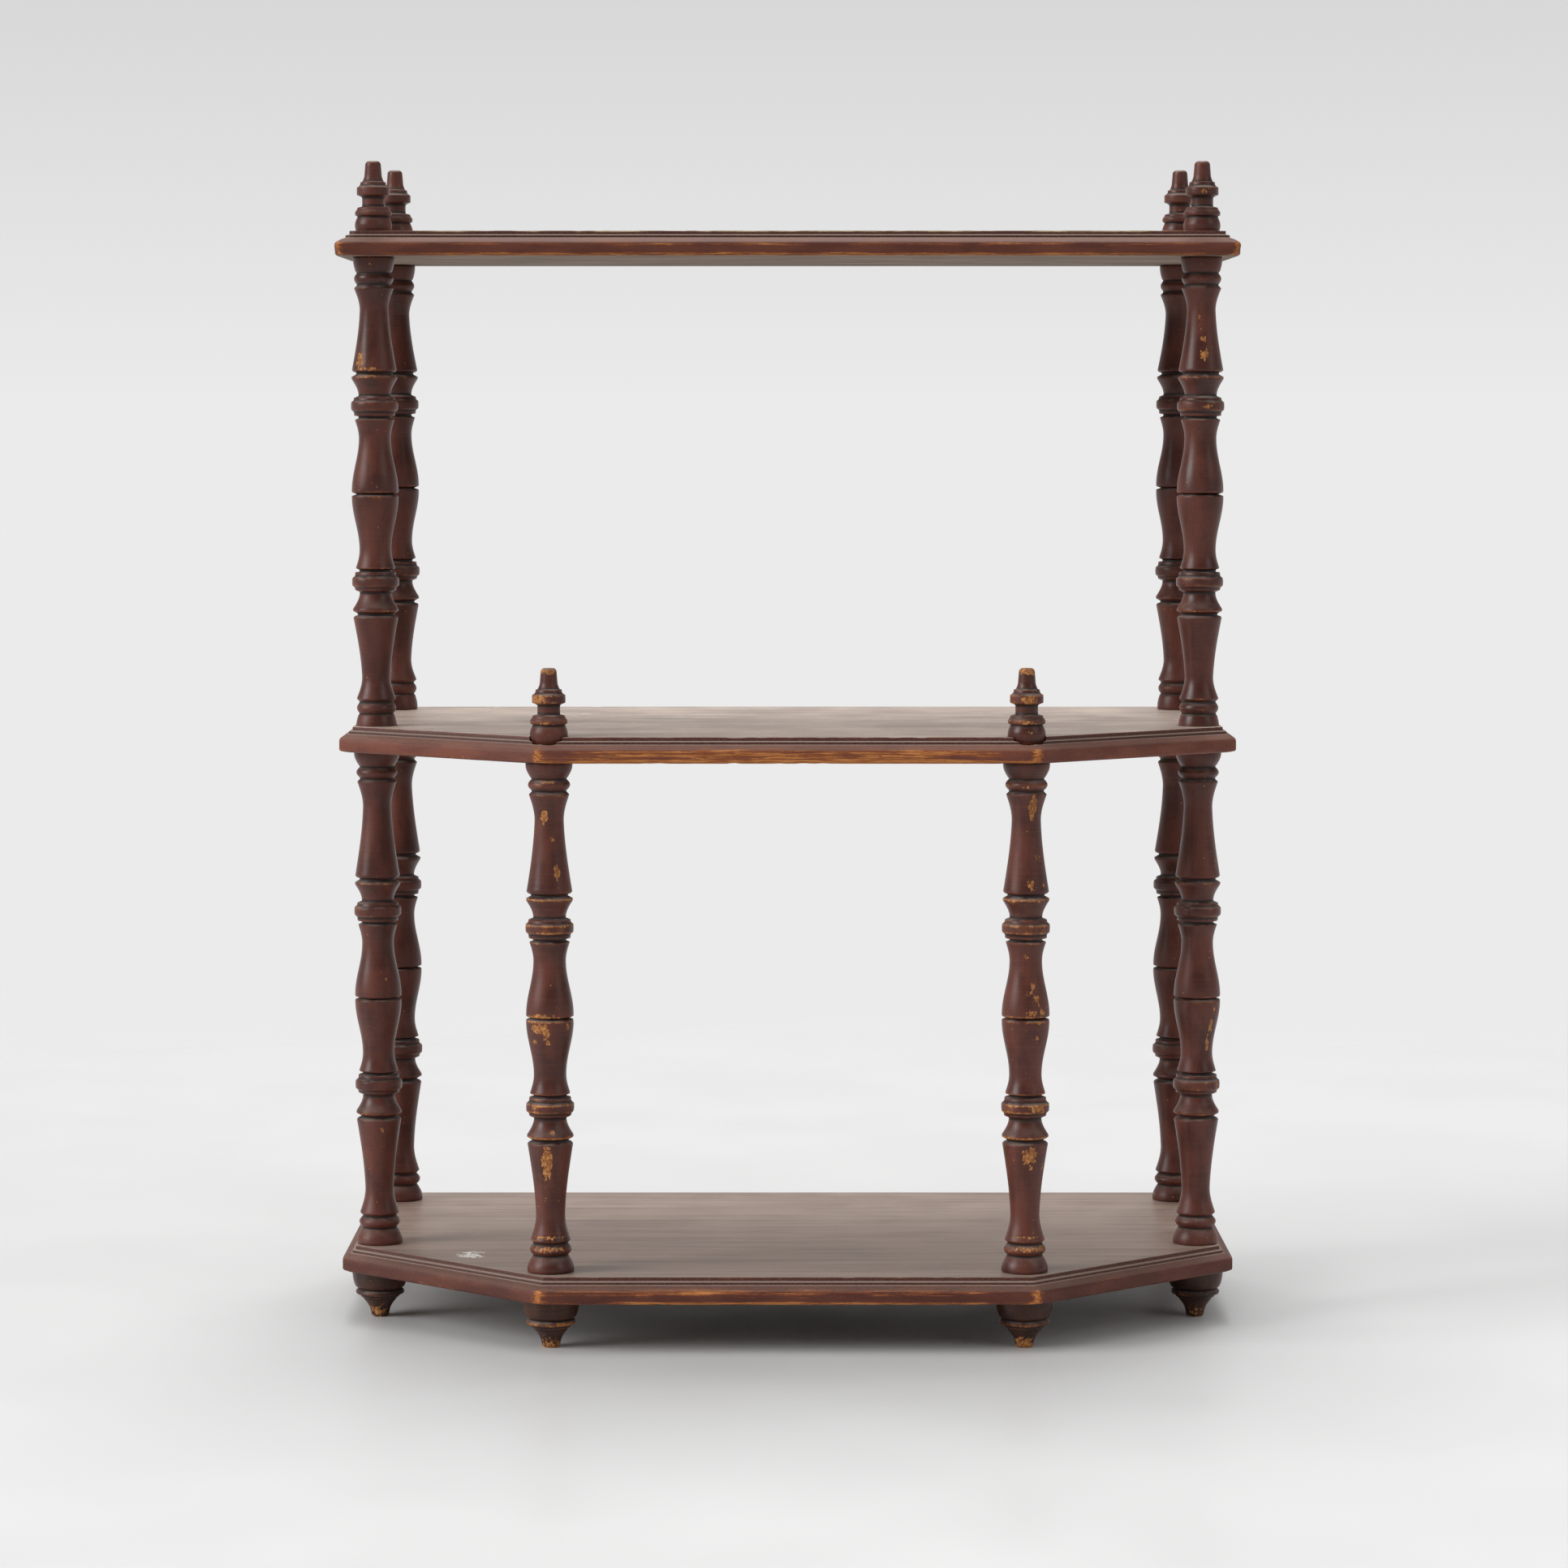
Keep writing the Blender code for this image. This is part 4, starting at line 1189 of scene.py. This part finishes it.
def divide_edges(bm):
    """Divides the long edges of the moulding, side by side, as often at the top as at the bottom."""
    for start, end in SIDE_LENGTHS:
        chosen = []
        for edge in bm.edges:
            if start * MM <= edge.calc_length() < end * MM:
                chosen.append(edge)
        if chosen:
            longest = max(edge.calc_length() for edge in chosen)
            cuts = round(longest / FINE_STEP)
            bmesh.ops.subdivide_edges(bm, edges=chosen, cuts=cuts, use_grid_fill=True)


def insets(place, corners):
    """Distance in metres from a place to each moulded line of the nose, in plan."""
    distances = []
    for start, end in zip(corners, corners[1:]):
        along = (end - start).normalized()
        distances.append((place.y - start.y) * along.x - (place.x - start.x) * along.y)
    return distances


def round_off(point, corners, radius):
    """Moves a point near a square front corner of the plan onto an arc of a radius in metres."""
    for corner, inward in ((corners[1], 1), (corners[2], -1)):
        across = (point.co.x - corner.x) * inward
        behind = point.co.y - corner.y
        start = min(across, behind)
        along = abs(across - behind)
        if along < radius:
            turn = math.pi / 4 * (1 - along / radius)
            bend = start + radius * (1 - math.cos(turn))
            reach = start + radius * (1 - math.sin(turn))
            across, behind = (bend, reach) if across < behind else (reach, bend)
            point.co.x = corner.x + inward * across
            point.co.y = corner.y + behind


def mark_board(bm, corners, base, line_wear, rounding):
    """Writes the attributes of a board, presses bites into its edges and rounds its plan corners."""
    inset = bm.verts.layers.float.new("inset")
    height = bm.verts.layers.float.new("height")
    wear = bm.verts.layers.float.new("wear")
    tip = bm.verts.layers.float.new("tip")
    front = min(corner.y for corner in corners)
    bm.normal_update()
    for point in bm.verts:
        distances = insets(point.co, corners)
        nearest = min(distances)
        plan = point.co.to_2d()
        closest = min(corners[1:-1], key=lambda corner: (plan - corner).length)
        gap = (plan - closest).length
        corner_share = max(1 - gap / CORNER_REACH, 0.0)
        point[inset] = nearest / MM
        point[height] = (point.co.z - base) / MM
        taper = WEAR_AT_CORNER + (1 - WEAR_AT_CORNER) * min(gap / WEAR_TAPER, 1.0)
        point[wear] = line_wear[distances.index(nearest)] * taper
        point[tip] = corner_share ** 2 * (1.0 if closest.y == front else SIDE_CORNER_WEAR)
        if point[inset] > MOULDING_WIDTH + PAST_MOULDING:
            continue
        low_edge = max(1 - point[height] / LOW_EDGE, 0.0)
        rim = max(1 - abs(point[height] - BOARD_THICKNESS) - abs(point[inset] - MOULDING_WIDTH), 0.0)
        hollow_of_bite = max(noise.noise(point.co / EDGE_BITE_SIZE) - EDGE_BITE_START, 0.0)
        bitten = min(BITTEN_ANYWHERE + BITTEN_LOW * low_edge + rim, 1.0)
        bite = bitten * point[wear] * hollow_of_bite * EDGE_BITE
        if rounding:
            lowness = max(1 - point[height] / ROUNDER_BELOW, 0.0)
            round_off(point, corners, rounding * (1 + ROUNDER_BY * lowness))
        else:
            bite += CORNER_BITE * corner_share ** 2
        point.co -= point.normal * bite


print("edge bites up to", EDGE_BITE / MM, "mm")

# %% [markdown]
# ## The three boards
# The bottom and middle boards have canted front corners, and the top one is a rectangle. Their fronts
# have been rubbed most, above all on the middle board, since that is where hands and things slide. Each
# board could be modelled by itself. Here one function makes all three from a few values, so they keep
# the same moulding.

# %% Plans and bores
CANTED = ("bottom_shelf", "middle_shelf")
CANT_X = 0.1472
CANT_Y = -0.0466
# Wear of each side, from the back left corner round the front to the back right one.
EDGE_WEAR = {
    "bottom_shelf": (0.25, 0.30, 1.0, 0.30, 0.25),
    "middle_shelf": (0.20, 0.25, 1.3, 0.25, 0.20),
    "top_shelf": (0.40, 0.98, 0.40),
}
CORNERS_ROUNDED = {"bottom_shelf": 0.0, "middle_shelf": 0.0, "top_shelf": 5 * MM}
NOTCH_X = {"middle_shelf": -0.1235}
CUP = UPPER_ENDS[1]
NO_SEAT = (0.0, 0.0)
# What stands in each bore, with the diameter and the depth in mm of its seat.
BORES = {
    "bottom_shelf": {
        "lower_spindle_front": NO_SEAT,
        "lower_spindle_side": NO_SEAT,
        "lower_spindle_back": NO_SEAT,
    },
    "middle_shelf": {
        "finial_front": (BALL, LET_IN["front"]),
        "upper_spindle_side": (CUP, LET_IN["side"]),
        "upper_spindle_back": NO_SEAT,
    },
    "top_shelf": {
        "finial_side": (BALL, LET_IN["side"]),
        "finial_back": NO_SEAT,
    },
}


def plan_of(node):
    """Corners of a board's nose, anticlockwise from behind its back left corner."""
    low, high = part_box(node)
    right = [Vector((high.x, high.y + PAST_BACK))]
    if node in CANTED:
        right += [Vector((high.x, CANT_Y)), Vector((CANT_X, low.y))]
    else:
        right += [Vector((high.x, low.y))]
    left = [Vector((-corner.x, corner.y)) for corner in right]
    return left + right[::-1]


def bore_places(node, base):
    """Where the bores of a board start, with the diameter and the depth of each seat."""
    places = []
    for pieces, (seat, let_in) in BORES[node].items():
        for hand in HANDS:
            low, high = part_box(f"{pieces}_{hand}")
            axis = (low + high) / 2
            places.append(((axis.x, axis.y, base), seat, let_in))
    return places


print("bores:", {node: len(HANDS) * len(pieces) for node, pieces in BORES.items()})

# %% Three boards
# The order of a board's finishes.
TOP, EDGE, BARE = range(3)
FACING = 0.9
SKIN = 0.1
BACK_SKIN = 0.5 * MM


def face_finish(face, base, back):
    """Which of a board's three finishes a face has."""
    middle = face.calc_center_median()
    height = (middle.z - base) / MM
    if face.normal.z > FACING and height > BOARD_THICKNESS - SKIN:
        return TOP
    if face.normal.z < -FACING and height < SKIN:
        return BARE
    if face.normal.y > FACING and middle.y > back - BACK_SKIN:
        return BARE
    return EDGE


def shelf_board(node):
    """Moulds, bores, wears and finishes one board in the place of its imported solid."""
    low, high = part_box(node)
    corners = plan_of(node)
    bm = moulded_blank(corners, high.y)
    bmesh.ops.translate(bm, verts=bm.verts[:], vec=(0.0, 0.0, low.z))
    divide_edges(bm)
    cutters = [bore_cutter(*place) for place in bore_places(node, low.z)]
    if node in NOTCH_X:
        cutters.append(notch_cutter((NOTCH_X[node], high.y, high.z)))
    bm = cut_away(bm, cutters)
    bmesh.ops.recalc_face_normals(bm, faces=bm.faces[:])
    for face in bm.faces:
        face.material_index = face_finish(face, low.z, high.y)
    mark_board(bm, corners, low.z, EDGE_WEAR[node], CORNERS_ROUNDED[node])
    return in_place_of(node, bm, [TOPS[node], EDGES[node], UNDER_FINISH])


boards = [shelf_board(node) for node in EDGE_WEAR]
print("boards:", [(board.name, len(board.data.polygons)) for board in boards])
